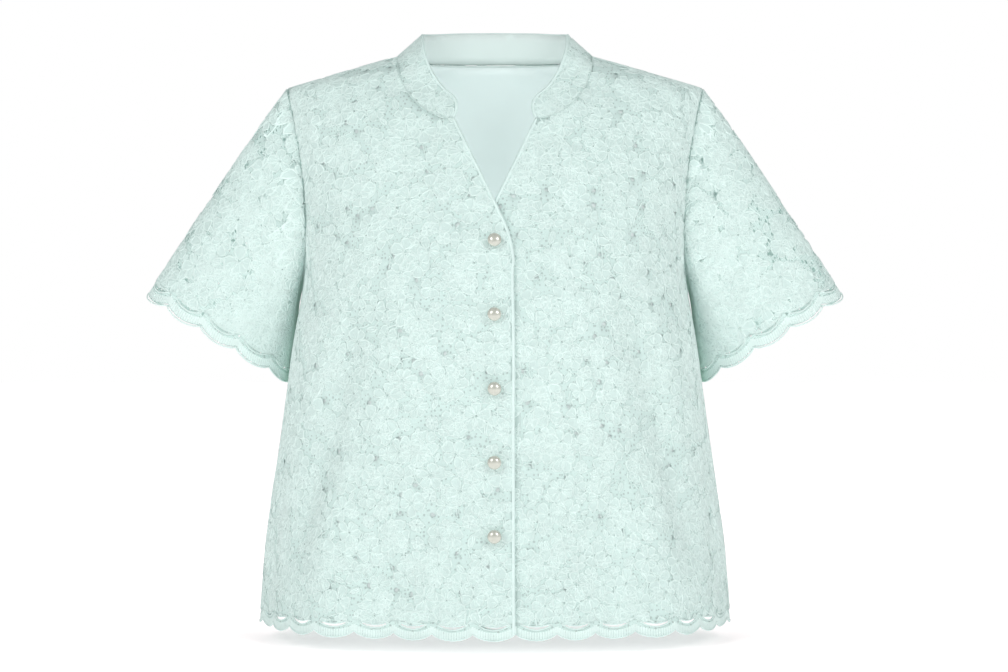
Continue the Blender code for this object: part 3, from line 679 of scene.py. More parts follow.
def sleeve_pattern(name, side):
    """The whole sleeve, cut as one piece that meets itself under the arm."""
    start, end = SEAM / 2, SLEEVE_AROUND - SEAM / 2
    edge = scallops(start, end, SLEEVE_AROUND / SLEEVE_SCALLOPS, 0.0)
    inner = edge + (0, SLOT_UP + SLOT_HIGH / 2)

    def hung(line, at=0.97):
        long = sleeve_long(line[:, 0] / SLEEVE_AROUND, np.full(len(line), at))
        return np.stack([line[:, 0], SLEEVE_DOWN * (1 - line[:, 1] / long)], axis=1)

    slots = []
    for n in range(SLEEVE_SCALLOPS):
        middle = (n + 0.5) / SLEEVE_SCALLOPS
        ring = sleeve_surface(middle + np.array([-1e-3, 1e-3]), np.array([0.93, 0.93]))
        around = np.linalg.norm(ring[1] - ring[0]) / 2e-3
        slots.append(hung(slot(middle * SLEEVE_AROUND, 0.0, SLEEVE_AROUND / around), 0.93))
    top = spaced([(end, 0.0), (start, 0.0)], OUTLINE_STEP)
    outlines = []
    for low in (hung(edge), hung(inner, 0.95)):
        outer = spaced([tuple(low[-1]), (end, 0.0)], OUTLINE_STEP)
        first = spaced([(start, 0.0), tuple(low[0])], OUTLINE_STEP)
        outlines.append(joined(low, outer, top, first))
    return Pattern(
        name,
        lambda flat, out=0.0: lay_sleeve(side, flat, out),
        outlines[0],
        outlines[1],
        slots,
        None,
        hung(edge),
        [hung(rib) for rib in border_ribs(edge)],
        SLEEVE_INSIDE * (side, 1, 1),
    )


def collar_seam():
    """The collar's seam on the body, from the middle of the back to the left front end."""
    back_across, back_height = neckline(False)
    front_across, front_height = neckline(True)
    back = [body(False, back_across[::-1], back_height[::-1], out) for out in (0.0, 1.0)]
    front = [body(True, front_across[1:], front_height[1:], out) for out in (0.0, 1.0)]
    line = np.vstack([back[0], front[0]])
    return line, np.vstack([back[1], front[1]]) - line


COLLAR_SEAM, COLLAR_STANDS_ON = collar_seam()
COLLAR_SHARE = by_length(COLLAR_SEAM)
COLLAR_LONG = float(np.linalg.norm(np.diff(COLLAR_SEAM, axis=0), axis=1).sum())


def collar_surface(along, up):
    """The collar: along from 0 at the middle of the back to 1 or -1 at a front end, up 0 to 1."""
    along = np.asarray(along, float)
    share = np.clip(np.abs(along), 0, 1)
    sign = np.where(along < 0, -1.0, 1.0)
    foot = np.stack([eased(COLLAR_SHARE, COLLAR_SEAM[:, k], share) for k in range(3)], axis=-1)
    inward = column(COLLAR_RISE, "inward", share, "along")
    back = column(COLLAR_RISE, "back", share, "along")
    rise = column(COLLAR_RISE, "up", share, "along")
    t = np.asarray(up, float)[..., None]
    top = foot + np.stack([-inward, back, rise], axis=-1)
    point = foot + (top - foot) * t
    point[..., 0] *= sign
    return point


def collar_foot(place):
    """How far up the collar starts: where it stands on the cloth, it clears the wall below it."""
    share = np.asarray(place, float) / COLLAR_LONG
    rise = collar_surface(share, 1.0 + 0 * share) - collar_surface(share, 0 * share)
    rise /= np.linalg.norm(rise, axis=-1, keepdims=True)
    under = np.stack([np.interp(share, COLLAR_SHARE, COLLAR_STANDS_ON[:, k]) for k in range(3)], 1)
    return 2 * SEAM + (LACE + SEAM) * np.clip((rise * under).sum(axis=1), 0, 1)


def lay_collar(flat, out=0.0):
    """Flat places of the collar, in metres, laid on it and moved out."""
    along, up = flat[:, 0] / COLLAR_LONG, flat[:, 1] / COLLAR_WIDE
    normal = -normals_of(collar_surface, np.clip(along, -0.99, 0.99), up)
    return collar_surface(along, up) + normal * np.asarray(out)[..., None]


def collar_pattern():
    """The stand collar, with rounded front ends. Its edge runs over the ends and the top."""
    end = COLLAR_LONG - COLLAR_END_IN
    along_foot = np.minimum(COLLAR_SHARE * COLLAR_LONG, end)
    foot_line = spaced(np.stack([along_foot, collar_foot(along_foot)], axis=1), 0.005)
    foot = foot_line[-1, 1]
    bend = [(end - COLLAR_END_ROUND * (1 - math.cos(a)),
             foot + (COLLAR_WIDE - foot) * math.sin(a)) for a in np.linspace(0, math.pi / 2, 16)]
    top_half = np.vstack([bend, spaced([bend[-1], (0.0, COLLAR_WIDE)], 0.005)[1:]])
    edge = np.vstack([top_half, (top_half * (-1, 1))[::-1][1:]])
    outline = joined(foot_line, edge, (foot_line * (-1, 1))[::-1])
    return Pattern("collar_lace", lay_collar, outline, outline, [], edge, None, [], COLLAR_INSIDE)


# Making flat pieces into cloth


def filled_cut(outline, gaps, cell, holes=()):
    """A flat piece as points and triangles, with slots (any shape) and holes (convex) cut."""
    loops = [outline, *gaps, *holes]
    fixed = np.concatenate(loops)
    edges = []
    owner = []
    start = 0
    for number, loop in enumerate(loops):
        count = len(loop)
        edges += [(start + i, start + (i + 1) % count) for i in range(count)]
        owner += [number] * count
        start += count
    tree = KDTree(len(fixed))
    for i, point in enumerate(fixed):
        tree.insert((point[0], point[1], 0.0), i)
    tree.balance()
    low, high = outline.min(0), outline.max(0)
    row_step = cell * math.sqrt(3) / 2
    grid = np.array([
        (x, y)
        for i, y in enumerate(np.arange(low[1] + row_step / 2, high[1], row_step))
        for x in np.arange(low[0] + cell / 2 + (i % 2) * cell / 2, high[0], cell)
    ]).reshape(-1, 2)
    far = np.array([tree.find((x, y, 0.0))[2] > 0.5 * cell for x, y in grid])
    keep = far & inside(outline, grid)
    for gap in gaps:
        keep &= ~inside(gap, grid)
    points = np.concatenate([fixed, grid[keep]])
    made = delaunay_2d_cdt([Vector(p) for p in points * 1000], edges, [], 0, 1e-4)
    flat = np.array([tuple(p) for p in made[0]]) / 1000
    faces = np.array([tuple(face) for face in made[2]])
    owner = np.array(owner + [-1] * int(keep.sum()))
    held = np.array([owner[source[0]] if source else -1 for source in made[3]])
    middles = flat[faces].mean(axis=1)
    sides = flat[faces[:, 1:]] - flat[faces[:, :1]]
    area = np.abs(sides[:, 0, 0] * sides[:, 1, 1] - sides[:, 0, 1] * sides[:, 1, 0]) / 2
    kept = inside(outline, middles) & (area > SLIVER)
    for gap in gaps:
        kept &= ~inside(gap, middles)
    of_corner = held[faces]
    same = (of_corner[:, 0] == of_corner[:, 1]) & (of_corner[:, 0] == of_corner[:, 2])
    kept &= ~(same & (of_corner[:, 0] > len(gaps)))
    return flat, faces[kept]


def facing(points, parts, out_of):
    """Turns every face of a cloth, given as arrays of faces, to look away from an inner point."""
    total = 0.0
    for faces in parts:
        corners = points[faces[:, :3]]
        normal = np.cross(corners[:, 1] - corners[:, 0], corners[:, 2] - corners[:, 0])
        total += (normal * (corners.mean(axis=1) - out_of)).sum()
    return [faces[:, ::-1] for faces in parts] if total < 0 else parts


def tucked(points):
    """How much painted shade each point gets, more the nearer it lies to the fold under an arm: from
    0 to 1.
    """
    share = np.zeros(len(points))
    for side in (-1, 1):
        top, foot = (np.array(end) * (side, 1, 1) for end in (UNDERARM_SHADE_TOP, SLEEVE_INNER))
        way = foot - top
        along = np.clip((points - top) @ way / (way @ way), 0, 1)
        off = np.linalg.norm(points - top - along[:, None] * way, axis=1)
        share = np.maximum(share, np.exp(-((off / UNDERARM_SHADE_WIDE) ** 2)))
    return share


def mesh_piece(name, points, faces, material, cloth=None):
    """A new object from points and faces; cloth holds each point's place for the material."""
    points = np.asarray(points, float)
    used = np.unique(np.concatenate([np.asarray(f).ravel() for f in faces]))
    order = np.full(len(points), -1)
    order[used] = np.arange(len(used))
    mesh = bpy.data.meshes.new(name)
    mesh.from_pydata(points[used].tolist(), [], [f for part in faces for f in order[part].tolist()])
    if cloth is not None:
        flat = np.zeros((len(used), 3))
        flat[:, :cloth.shape[1]] = cloth[used]
        place = mesh.attributes.new("cloth", "FLOAT_VECTOR", "POINT")
        place.data.foreach_set("vector", flat.ravel())
        # Painted shade under the arms, on the sleeves only
        near = mesh.attributes.new("tucked", "FLOAT", "POINT")
        share = tucked(points[used]) * name.startswith("sleeve")
        near.data.foreach_set("value", share)
    mesh.validate()
    mesh.update()
    mesh.shade_smooth()
    mesh.materials.append(material)
    piece = bpy.data.objects.new(name, mesh)
    bpy.context.scene.collection.objects.link(piece)
    return piece


def cloth_piece(name, pattern, flat, faces, out, thick, material):
    """A flat cut laid in place, with Solidify for its thickness."""
    points = pattern.lay(flat, out)
    piece = mesh_piece(name, points, facing(points, [faces], pattern.within), material, flat)
    wall = piece.modifiers.new("wall", "SOLIDIFY")
    wall.thickness = thick
    wall.offset = 1
    return piece


def worn(piece, material_slot, *nodes):
    """Fixes a finished piece to the body and hides the nodes it stands for; the material slot is not
    used.
    """
    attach(piece, "root")
    if nodes:
        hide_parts(*nodes)
    return piece


# At the places between flowers: the share that are gaps, and the share with a small flower
GAP_SHARE = 0.20
SMALL_SHARE = 0.54
GAP_RADIUS = (0.0019, 0.0028)
GAP_FROM_EDGE = 0.0055
GAP_OVER_BORDER = 0.004
GROUND_CELL = 0.0078

# The smallest and largest size at which each kind of template is laid
FLOWER_SIZES = (0.82, 1.14)
SMALL_SIZES = (0.42, 0.66)
LEAF_SIZES = (0.85, 1.2)

# Flowers, leaves and cords. Every template is flat, in metres: x and y along the cloth, and z the
# height over the ground. Petals are low domes, and cords are ridges that run round them.
Template = namedtuple("Template", "points faces")
LIFT_MOST = 0.00025


def ridge(line, width, low, high, closed):
    """A cord's ridge along a flat line, three points across."""
    line = np.asarray(line, float)
    if closed:
        ahead, behind = np.roll(line, -1, axis=0), np.roll(line, 1, axis=0)
    else:
        ahead = np.vstack([line[1:], 2 * line[-1] - line[-2]])
        behind = np.vstack([2 * line[0] - line[1], line[:-1]])
    along = ahead - behind
    along /= np.maximum(np.linalg.norm(along, axis=1, keepdims=True), 1e-9)
    side = np.stack([-along[:, 1], along[:, 0]], axis=1) * width / 2
    count = len(line)
    points = np.zeros((count, 3, 3))
    points[:, 0, :2] = line + side
    points[:, 1, :2] = line
    points[:, 2, :2] = line - side
    points[:, :, 2] = (low, high, low)
    faces = []
    for i in range(count if closed else count - 1):
        a, b = 3 * i, 3 * ((i + 1) % count)
        faces += [(a, a + 1, b + 1, b), (a + 1, a + 2, b + 2, b + 1)]
    return points.reshape(-1, 3), np.array(faces)


def dome(loop, low, high):
    """A filled shape that rises from its outline to its middle, as a fan of triangles."""
    loop = np.asarray(loop, float)
    middle = loop.mean(axis=0)
    count = len(loop)
    rim = np.column_stack([loop, np.full(count, low)])
    points = np.vstack([rim, [(middle[0], middle[1], high)]])
    return points, np.array([(i, (i + 1) % count, count, count) for i in range(count)])


def petal_loop(angle, start, long, wide, notch, steps=8):
    """A petal's outline, its base towards the flower's middle."""
    turn = np.linspace(-math.pi, math.pi, steps, endpoint=False)
    x = start + long / 2 * (1 + np.cos(turn)) - notch * np.exp(-((turn / 0.5) ** 2))
    y = wide * np.sin(turn) * (0.78 + 0.30 * np.cos(turn))
    c, s = math.cos(angle), math.sin(angle)
    return np.stack([c * x - s * y, s * x + c * y], axis=1)


def merged(parts):
    """One template from several."""
    points, faces, start = [], [], 0
    for p, f in parts:
        points.append(p)
        faces.append(f + start)
        start += len(p)
    return Template(np.vstack(points), np.vstack(faces))


def turned(points, angle):
    """Flat points turned about the origin."""
    c, s = math.cos(angle), math.sin(angle)
    return np.asarray(points) @ np.array([[c, s], [-s, c]])


def petal_pair(draw, sizes, angle, wide, steps, cord=1.0):
    """One petal and the cord round it, whose width can be set against the usual one."""
    reach = sizes.flower_radius
    loop = petal_loop(angle, reach * draw.uniform(0.08, 0.18), reach * draw.uniform(0.60, 0.95),
                      wide * draw.uniform(0.76, 1.14), reach * draw.uniform(0, 0.13), steps)
    return (dome(loop, 0.0002, sizes.petal_high * draw.uniform(0.6, 1.3)),
            ridge(loop, sizes.cord_wide * cord, 0.0002, sizes.cord_high, True))


def flower_templates(draw, sizes):
    """Unlike flowers of four to seven petals, as pairs of petals and cords."""
    made = []
    reach, wide, high = sizes.flower_radius, sizes.cord_wide, sizes.cord_high
    for petals in (5, 6, 5, 4, 6, 5, 7, 5):
        fills, cords = [], []
        for k in range(petals):
            angle = 2 * math.pi * (k + draw.uniform(-0.14, 0.14)) / petals
            fill, cord = petal_pair(draw, sizes, angle, reach * 2.25 / petals, 8)
            fills.append(fill)
            cords.append(cord)
            if draw.random() < 0.7:
                spoke = [(reach * t, reach * draw.uniform(-0.03, 0.03))
                         for t in (0.22, 0.40, draw.uniform(0.50, 0.74))]
                cords.append(ridge(turned(spoke, angle), wide * 0.65, sizes.petal_high * 0.5,
                                   high * 0.85, False))
        heart = [(reach * draw.uniform(0.11, 0.18) * math.cos(a),
                  reach * draw.uniform(0.11, 0.18) * math.sin(a))
                 for a in np.linspace(0, 2 * math.pi, 5, endpoint=False)]
        cords.append(ridge(heart, wide * 0.8, 0.0003, high * 1.1, True))
        for long, bend in ((1.3, 0.42), (1.0, -0.36), (0.8, 0.55)):
            tail = [(reach * (0.80 + 0.36 * t), reach * (bend * math.sin(2.4 * t) + 0.35 * t))
                    for t in np.linspace(0, long, 4)]
            cords.append(ridge(turned(tail, draw.uniform(0, 2 * math.pi)), wide * 0.8, 0.0002,
                               high * 0.95, False))
        made.append((merged(fills), merged(cords)))
    return made


def small_templates(draw, sizes):
    """Simpler flowers for the places between, drawn at full size and laid smaller."""
    made = []
    for petals in (5, 4, 5, 6):
        pairs = [petal_pair(draw, sizes, 2 * math.pi * (k + draw.uniform(-0.15, 0.15)) / petals,
                            sizes.flower_radius * 2.3 / petals, 6, 1.6) for k in range(petals)]
        made.append((merged([fill for fill, _ in pairs]), merged([cord for _, cord in pairs])))
    return made


def leaf_templates(draw, sizes):
    """Small pointed leaves with a rib."""
    made = []
    for _ in range(4):
        long, wide = 0.0052 * draw.uniform(0.85, 1.2), 0.0024 * draw.uniform(0.8, 1.2)
        turn = np.linspace(0, 2 * math.pi, 8, endpoint=False)
        loop = np.stack([long * np.cos(turn), wide * np.sin(turn) * np.abs(np.sin(turn)) ** 0.3], 1)
        rib = [(-long * 1.25, 0.0), (0.0, 0.0003), (long * 0.8, 0.0)]
        made.append((
            merged([dome(loop, 0.0002, sizes.petal_high * 0.8)]),
            merged([ridge(loop, sizes.cord_wide * 0.85, 0.0002, sizes.cord_high * 0.9, True),
                    ridge(rib, sizes.cord_wide * 0.7, 0.0003, sizes.cord_high * 0.9, False)]),
        ))
    return made


def frames_at(lay, flat):
    """How flat steps map to steps along the cloth, at places: the two tangents' inverse."""
    step = 2e-4
    u = (lay(flat + (step, 0)) - lay(flat - (step, 0))) / (2 * step)
    v = (lay(flat + (0, step)) - lay(flat - (0, step))) / (2 * step)
    long_u = np.linalg.norm(u, axis=1)
    e1 = u / long_u[:, None]
    across = (v * e1).sum(axis=1)
    up = np.linalg.norm(v - across[:, None] * e1, axis=1)
    frames = np.zeros((len(flat), 2, 2))
    frames[:, 0, 0] = 1 / long_u
    frames[:, 0, 1] = -across / (long_u * up)
    frames[:, 1, 1] = 1 / up
    return frames


def stamped(lie, centres, frames, sizes, templates, which):
    """Copies of templates at flat places. Gives flat points, heights, own places and faces."""
    turns, kinds, lifts = lie
    templates = [pair[which] for pair in templates]
    flats, heights, owns, faces, start = [], [], [], [], 0
    for kind, template in enumerate(templates):
        at = np.flatnonzero(kinds == kind)
        if not len(at):
            continue
        c, s = np.cos(turns[at]), np.sin(turns[at])
        turn = np.stack([np.stack([c, -s], 1), np.stack([s, c], 1)], 1)
        local = template.points[:, :2]
        moved = np.einsum("nij,mj->nmi", turn, local) * sizes[at][:, None, None]
        flats.append((centres[at][:, None] + np.einsum("nij,nmj->nmi", frames[at], moved))
                     .reshape(-1, 2))
        heights.append((lifts[at][:, None] + sizes[at][:, None] * template.points[:, 2]).ravel())
        own = local[None] * sizes[at][:, None, None] + (at * 0.05)[:, None, None]
        owns.append(own.reshape(-1, 2))
        shift = start + np.arange(len(at)) * len(local)
        faces.append((template.faces[None] + shift[:, None, None]).reshape(-1, 4))
        start += len(at) * len(local)
    return np.vstack(flats), np.concatenate(heights), np.vstack(owns), np.vstack(faces)


def cast(draw, count, kinds):
    """How each stamp lies: its turn, which template it takes and how far it is lifted."""
    return (draw.uniform(0, 2 * math.pi, count), draw.integers(0, kinds, count),
            draw.uniform(0, LIFT_MOST, count))


def gathered(stamps):
    """One lot of stamps from several."""
    faces, start = [], 0
    for stamp in stamps:
        faces.append(stamp[3] + start)
        start += len(stamp[0])
    flats, heights, owns = ([stamp[k] for stamp in stamps] for k in range(3))
    return np.vstack(flats), np.concatenate(heights), np.vstack(owns), np.vstack(faces)


def clipped(field, flat, faces):
    """Leaves out faces outside a field, and brings the rest of their corners to its outline."""
    within = inside(field, flat)
    corners = within[faces]
    faces = faces[corners.sum(axis=1) >= 2]
    outer = np.zeros(len(flat), bool)
    outer[faces] = True
    outer &= ~within
    flat = flat.copy()
    if outer.any():
        flat[outer] = snapped(field, flat[outer])
    return flat, faces


def split_fans(faces):
    """Quads and, where a fan's quad repeats its last corner, triangles."""
    fan = faces[:, 2] == faces[:, 3]
    return [part for part in (faces[~fan], faces[fan][:, :3]) if len(part)]


def scattered(pattern, draw, spacing):
    """Places for flowers all over a cut, a spacing apart along the real cloth, row by row."""
    low, high = pattern.field.min(0), pattern.field.max(0)
    level = low[1]
    row = 0
    places = []
    while level < high[1] + spacing:
        u = np.linspace(low[0], high[0], 200)
        line = pattern.lay(np.stack([u, np.full(200, min(level, high[1]))], axis=1))
        along = np.concatenate([[0], np.cumsum(np.linalg.norm(np.diff(line, axis=0), axis=1))])
        count = int(along[-1] / spacing) + 2
        at = (np.arange(count) + 0.5 * (row % 2)) * spacing
        at = at + draw.uniform(-0.36, 0.36, count) * spacing
        fits = (at > -0.4 * spacing) & (at < along[-1] + 0.4 * spacing)
        u_at = np.interp(at[fits], along, u)
        v_at = level + draw.uniform(-0.35, 0.35, fits.sum()) * spacing
        places.append(np.stack([u_at, v_at], axis=1))
        mid = np.array([[(low[0] + high[0]) / 2, min(max(level, low[1]), high[1] - 0.002)]])
        rise = np.linalg.norm(pattern.lay(mid + (0, 1e-3)) - pattern.lay(mid)) / 1e-3
        level += spacing * math.sqrt(3) / 2 / rise
        row += 1
    places = np.vstack(places)
    near = inside(pattern.field, places)
    edge_gap = np.linalg.norm(snapped(pattern.field, places) - places, axis=1)
    return places[near | (edge_gap < 0.35 * spacing)]


def junctions(places, spacing):
    """The middles of the triangles between neighbouring flowers."""
    made = delaunay_2d_cdt([Vector(p) for p in places * 1000], [], [], 0, 1e-4)
    flat = np.array([tuple(p) for p in made[0]]) / 1000
    faces = np.array([tuple(face) for face in made[2]])
    corners = flat[faces]
    longest = np.linalg.norm(corners - np.roll(corners, 1, axis=1), axis=2).max(axis=1)
    return corners.mean(axis=1)[longest < 2.2 * spacing]


def gap_loop(centre, frame, radius, spin):
    """A rounded gap of the ground, in flat places, at its true size."""
    turn = spin + np.linspace(0, 2 * math.pi, 7, endpoint=False)
    reach = radius * (1 + 0.16 * np.sin(2 * (turn - spin)))
    ring = np.stack([reach * np.cos(turn), reach * np.sin(turn)], axis=1)
    return centre + ring @ frame.T


def lace_on(pattern, draw, sizes, nodes, see_through):
    """The whole lace of a cut: its ground with gaps, its petals and its cords."""
    lace = bpy.data.materials
    spacing = sizes.flower_spacing
    flowers = scattered(pattern, draw, spacing)
    frames = frames_at(pattern.lay, flowers)
    between = junctions(flowers, spacing * 1.25)
    gap_frames = frames_at(pattern.lay, between)
    edge_gap = np.linalg.norm(snapped(pattern.field, between) - between, axis=1)
    clear = inside(pattern.field, between) & (edge_gap > GAP_FROM_EDGE)
    if not see_through:
        clear &= between[:, 1] > BORDER + GAP_OVER_BORDER
    lot = draw.random(len(between))
    is_gap = lot < GAP_SHARE
    is_small = (lot >= GAP_SHARE) & (lot < GAP_SHARE + SMALL_SHARE)
    gaps = []
    for i in np.flatnonzero(clear & is_gap):
        radius = draw.uniform(*GAP_RADIUS)
        gaps.append(gap_loop(between[i], gap_frames[i], radius, draw.uniform(0, 6.28)))
    flat, faces = filled_cut(pattern.outline, pattern.slots, GROUND_CELL, gaps)
    ground = cloth_piece(pattern.name, pattern, flat, faces, NET_OUT, NET_THICK,
                         lace["net_open" if see_through else "net"])
    worn(ground, "lace", *nodes)

    is_leaf = ~is_gap & ~is_small
    scatter = []
    for places, tangents, templates, scales in (
        (flowers, frames, flower_templates(draw, sizes), FLOWER_SIZES),
        (between[is_small], gap_frames[is_small], small_templates(draw, sizes), SMALL_SIZES),
        (between[is_leaf], gap_frames[is_leaf], leaf_templates(draw, sizes), LEAF_SIZES),
    ):
        lie = cast(draw, len(places), len(templates))
        scale = draw.uniform(*scales, len(places))
        scatter.append([stamped(lie, places, tangents, scale, templates, which)
                        for which in (0, 1)])
    pieces = []
    for label, material, stamps in (
        ("petals", "petals", [pair[0] for pair in scatter]),
        ("cords", "cords", [scatter[0][1]]),
        ("fine_cords", "cords", [scatter[1][1], scatter[2][1]]),
    ):
        flat, height, own, faces = gathered(stamps)
        flat, faces = clipped(pattern.field, flat, faces)
        points = pattern.lay(flat, height + ON_NET)
        parts = facing(points, split_fans(faces), pattern.within)
        piece = mesh_piece(f"{pattern.name}_{label}", points, parts, lace[material], own)
        worn(piece, "lace")
        pieces.append(piece)
    return ground, pieces


# Edges, seams and stitches, laid along a line in place

# How low and how high a turned edge stands, the cord in a seam, and how far off the armhole it lies
TURNED_LOW, TURNED_HIGH = 0.0004, 0.0013
SEAM_CORD = 0.0006
SEAM_OFF = 0.0003

# The neck seam: a flat oval cord, a little in from the cloth, drawn through even points
NECK_CORD = 0.0017
NECK_CORD_FLAT = 0.25
NECK_SEAM_IN = 0.0006
NECK_SEAM_POINTS = 110

# The section of the darker strip that paints the shadow beside the right front's edge, and how far
# apart points lie along each kind of trim
PLACKET_SHADOW_SECTION = ((-0.0030, 0.0001), (-0.0020, 0.0004), (0.0020, 0.0004), (0.0030, 0.0001))
HEM_CORD_STEP = 0.0022
COLLAR_EDGE_STEP = 0.003
EDGE_STEP = 0.004
PLACKET_SHADOW_STEP = 0.005


def line_in_place(lay, flat, out):
    """Points along a flat line on a cut, with the cloth's normals there."""
    points = lay(flat, out)
    normals = lay(flat, out + 0.001) - points
    return points, normals / np.linalg.norm(normals, axis=1, keepdims=True)


def strip_points(points, normals, profile, inward, closed=False):
    """A swept strip: profile rows are how far inwards and how far out each edge of it lies."""
    if closed:
        along = np.roll(points, -1, axis=0) - np.roll(points, 1, axis=0)
    else:
        along = np.gradient(points, axis=0)
    along /= np.maximum(np.linalg.norm(along, axis=1, keepdims=True), 1e-9)
    side = np.cross(normals, along) * inward
    side /= np.maximum(np.linalg.norm(side, axis=1, keepdims=True), 1e-9)
    profile = np.asarray(profile, float)
    made = (points[:, None] + side[:, None] * profile[None, :, 0, None]
            + normals[:, None] * profile[None, :, 1, None])
    wide, count = len(profile), len(points)
    faces = []
    for i in range(count if closed else count - 1):
        a, b = wide * i, wide * ((i + 1) % count)
        faces += [(a + k, a + k + 1, b + k + 1, b + k) for k in range(wide - 1)]
    run = np.concatenate([[0], np.cumsum(np.linalg.norm(np.diff(points, axis=0), axis=1))])
    round_it = np.concatenate([[0], np.cumsum(np.linalg.norm(np.diff(profile, axis=0), axis=1))])
    cloth = np.stack([np.repeat(run, wide), np.tile(round_it, count)], axis=1)
    return made.reshape(-1, 3), np.array(faces), cloth


def turned_profile(wide, low, high, steps=7):
    """A turned edge, folded over the cut: from its inner side over its top and under the edge."""
    angle = np.linspace(0, math.pi, steps)
    over = [(wide / 2 + wide / 2 * math.cos(a), low + (high - low) * math.sin(a)) for a in angle]
    return over + [(-0.0006, low * 0.5), (-0.0003, -0.0012), (0.0025, -0.0014)]


def round_profile(radius, steps=8):
    """A closed round section, for piping and cords."""
    angle = np.linspace(0, 2 * math.pi, steps + 1)
    return [(radius * math.cos(a), radius * math.sin(a)) for a in angle]


def trim(name, parts, material, material_slot="lace"):
    """One piece from several swept strips."""
    points, faces, cloth, start = [], [], [], 0
    for p, f, c in parts:
        points.append(p)
        faces.append(f + start)
        cloth.append(c)
        start += len(p)
    piece = mesh_piece(name, np.vstack(points), [np.vstack(faces)],
                       bpy.data.materials[material], np.vstack(cloth))
    return worn(piece, material_slot)


def neck_seam():
    """Where the inside of the collar meets the lining: points all along it, and the way in."""
    along = np.minimum(COLLAR_SHARE * COLLAR_LONG, COLLAR_LONG - COLLAR_END_IN)
    band = lay_collar(np.stack([along, collar_foot(along)], axis=1), -LINING_IN)
    lining = COLLAR_SEAM - COLLAR_STANDS_ON * LINING_IN
    way_in = -COLLAR_STANDS_ON
    half = (band + lining) / 2 + way_in * NECK_SEAM_IN
    line = np.vstack([(half * (-1, 1, 1))[:0:-1], half])
    normals = np.vstack([(way_in * (-1, 1, 1))[:0:-1], way_in])
    share = by_length(line)
    even = np.linspace(0, 1, NECK_SEAM_POINTS)
    line, normals = (np.stack([np.interp(even, share, each[:, k]) for k in range(3)], axis=1)
                     for each in (line, normals))
    return line, normals / np.linalg.norm(normals, axis=1, keepdims=True)


def collar_foot_line():
    """Where the collar stands on the lace, all along it, and the way out."""
    along = np.minimum(COLLAR_SHARE * COLLAR_LONG, COLLAR_LONG - COLLAR_END_IN)
    foot = np.stack([along, collar_foot(along) - SEAM], axis=1)
    foot = spaced(np.vstack([(foot * (-1, 1))[:0:-1], foot]), EDGE_STEP)
    return line_in_place(lay_collar, foot, LACE * 0.7)


def placket_shadow_line():
    """Down the left front just past the right front's edge, where a darker strip paints that edge's
    shadow, and the way out.
    """
    down = [(UNDERLAP, place) for place in np.linspace(UNDERLAP_TOP, UNDERLAP_FOOT, 60)]
    return line_in_place(lambda flat, out: lay_body(True, 1, flat, out), spaced(down, PLACKET_SHADOW_STEP),
                         ON_NET)


def armhole_line():
    """All round the wearer's left armhole, just off it, and the way out of the body."""
    front, back = ARMHOLE
    ring = np.vstack([front, back[::-1][1:-1]])
    ring = spaced(np.vstack([ring, ring[:1]]), EDGE_STEP)[:-1]
    away = ring - ring.mean(axis=0)
    ring = ring + away / np.linalg.norm(away, axis=1)[:, None] * SEAM_OFF
    return ring, np.tile((1.0, 0.0, 0.0), (len(ring), 1))


def mirrored(part, side):
    """A swept strip as it is, or for the wearer's right mirrored."""
    points, faces, cloth = part
    return (points * (side, 1, 1), faces if side > 0 else faces[:, ::-1], cloth)


def grown(loop, by):
    """A closed flat outline moved outwards by a distance."""
    along = np.roll(loop, -1, axis=0) - np.roll(loop, 1, axis=0)
    out = np.stack([along[:, 1], -along[:, 0]], axis=1)
    out /= np.linalg.norm(out, axis=1, keepdims=True)
    after = np.roll(loop, -1, axis=0)
    area = (loop[:, 0] * after[:, 1] - loop[:, 1] * after[:, 0]).sum()
    return loop + out * by * np.sign(area)


def hem_cords(pattern, sizes):
    """Cords along the scalloped edge and round the slots, and the border's close ribs."""
    parts = []
    half = sizes.cord_wide / 2
    cord = [(-half, 0.0001), (-half * 0.5, sizes.cord_high), (half * 0.5, sizes.cord_high),
            (half, 0.0001)]
    rib = [(-RIB_SPACING * 0.42, 0.0), (0.0, 0.0004), (RIB_SPACING * 0.42, 0.0)]
    lines = [(pattern.hem + (0, sizes.cord_wide * 0.6), cord)]
    for loop in pattern.slots:
        round_it = grown(loop, half)
        lines.append((np.vstack([round_it, round_it[:1]]), cord))
    lines += [(line, rib) for line in pattern.ribs]
    for line, profile in lines:
        points, normals = line_in_place(pattern.lay, spaced(line, HEM_CORD_STEP), ON_NET)
        parts.append(strip_points(points, normals, profile, 1))
    return parts


# Materials


def group(name, inputs, outputs):
    """An empty shader node group with named sockets, and its two end nodes."""
    tree = bpy.data.node_groups.new(name, "ShaderNodeTree")
    for label, kind, default in inputs:
        socket = tree.interface.new_socket(label, in_out="INPUT", socket_type=kind)
        if default is not None:
            socket.default_value = default
    for label, kind in outputs:
        tree.interface.new_socket(label, in_out="OUTPUT", socket_type=kind)
    return tree, tree.nodes.new("NodeGroupInput"), tree.nodes.new("NodeGroupOutput")


def feed(tree, socket, value):
    """Gives a socket its value: another node's socket is linked, and a constant is set."""
    if isinstance(value, bpy.types.NodeSocket):
        tree.links.new(value, socket)
    else:
        socket.default_value = value


def math_node(tree, operation, first, second=None, third=None):
    """A sum of up to three values, each a constant or a socket."""
    node = tree.nodes.new("ShaderNodeMath")
    node.operation = operation
    for socket, value in zip(node.inputs, (first, second, third)):
        if value is not None:
            feed(tree, socket, value)
    return node.outputs[0]


def mapped(tree, value, low, high, to_low=0.0, to_high=1.0):
    """A value brought smoothly from one range to another."""
    node = tree.nodes.new("ShaderNodeMapRange")
    node.interpolation_type = "SMOOTHSTEP"
    tree.links.new(value, node.inputs["Value"])
    for label, number in (("From Min", low), ("From Max", high), ("To Min", to_low),
                          ("To Max", to_high)):
        feed(tree, node.inputs[label], number)
    return node.outputs["Result"]


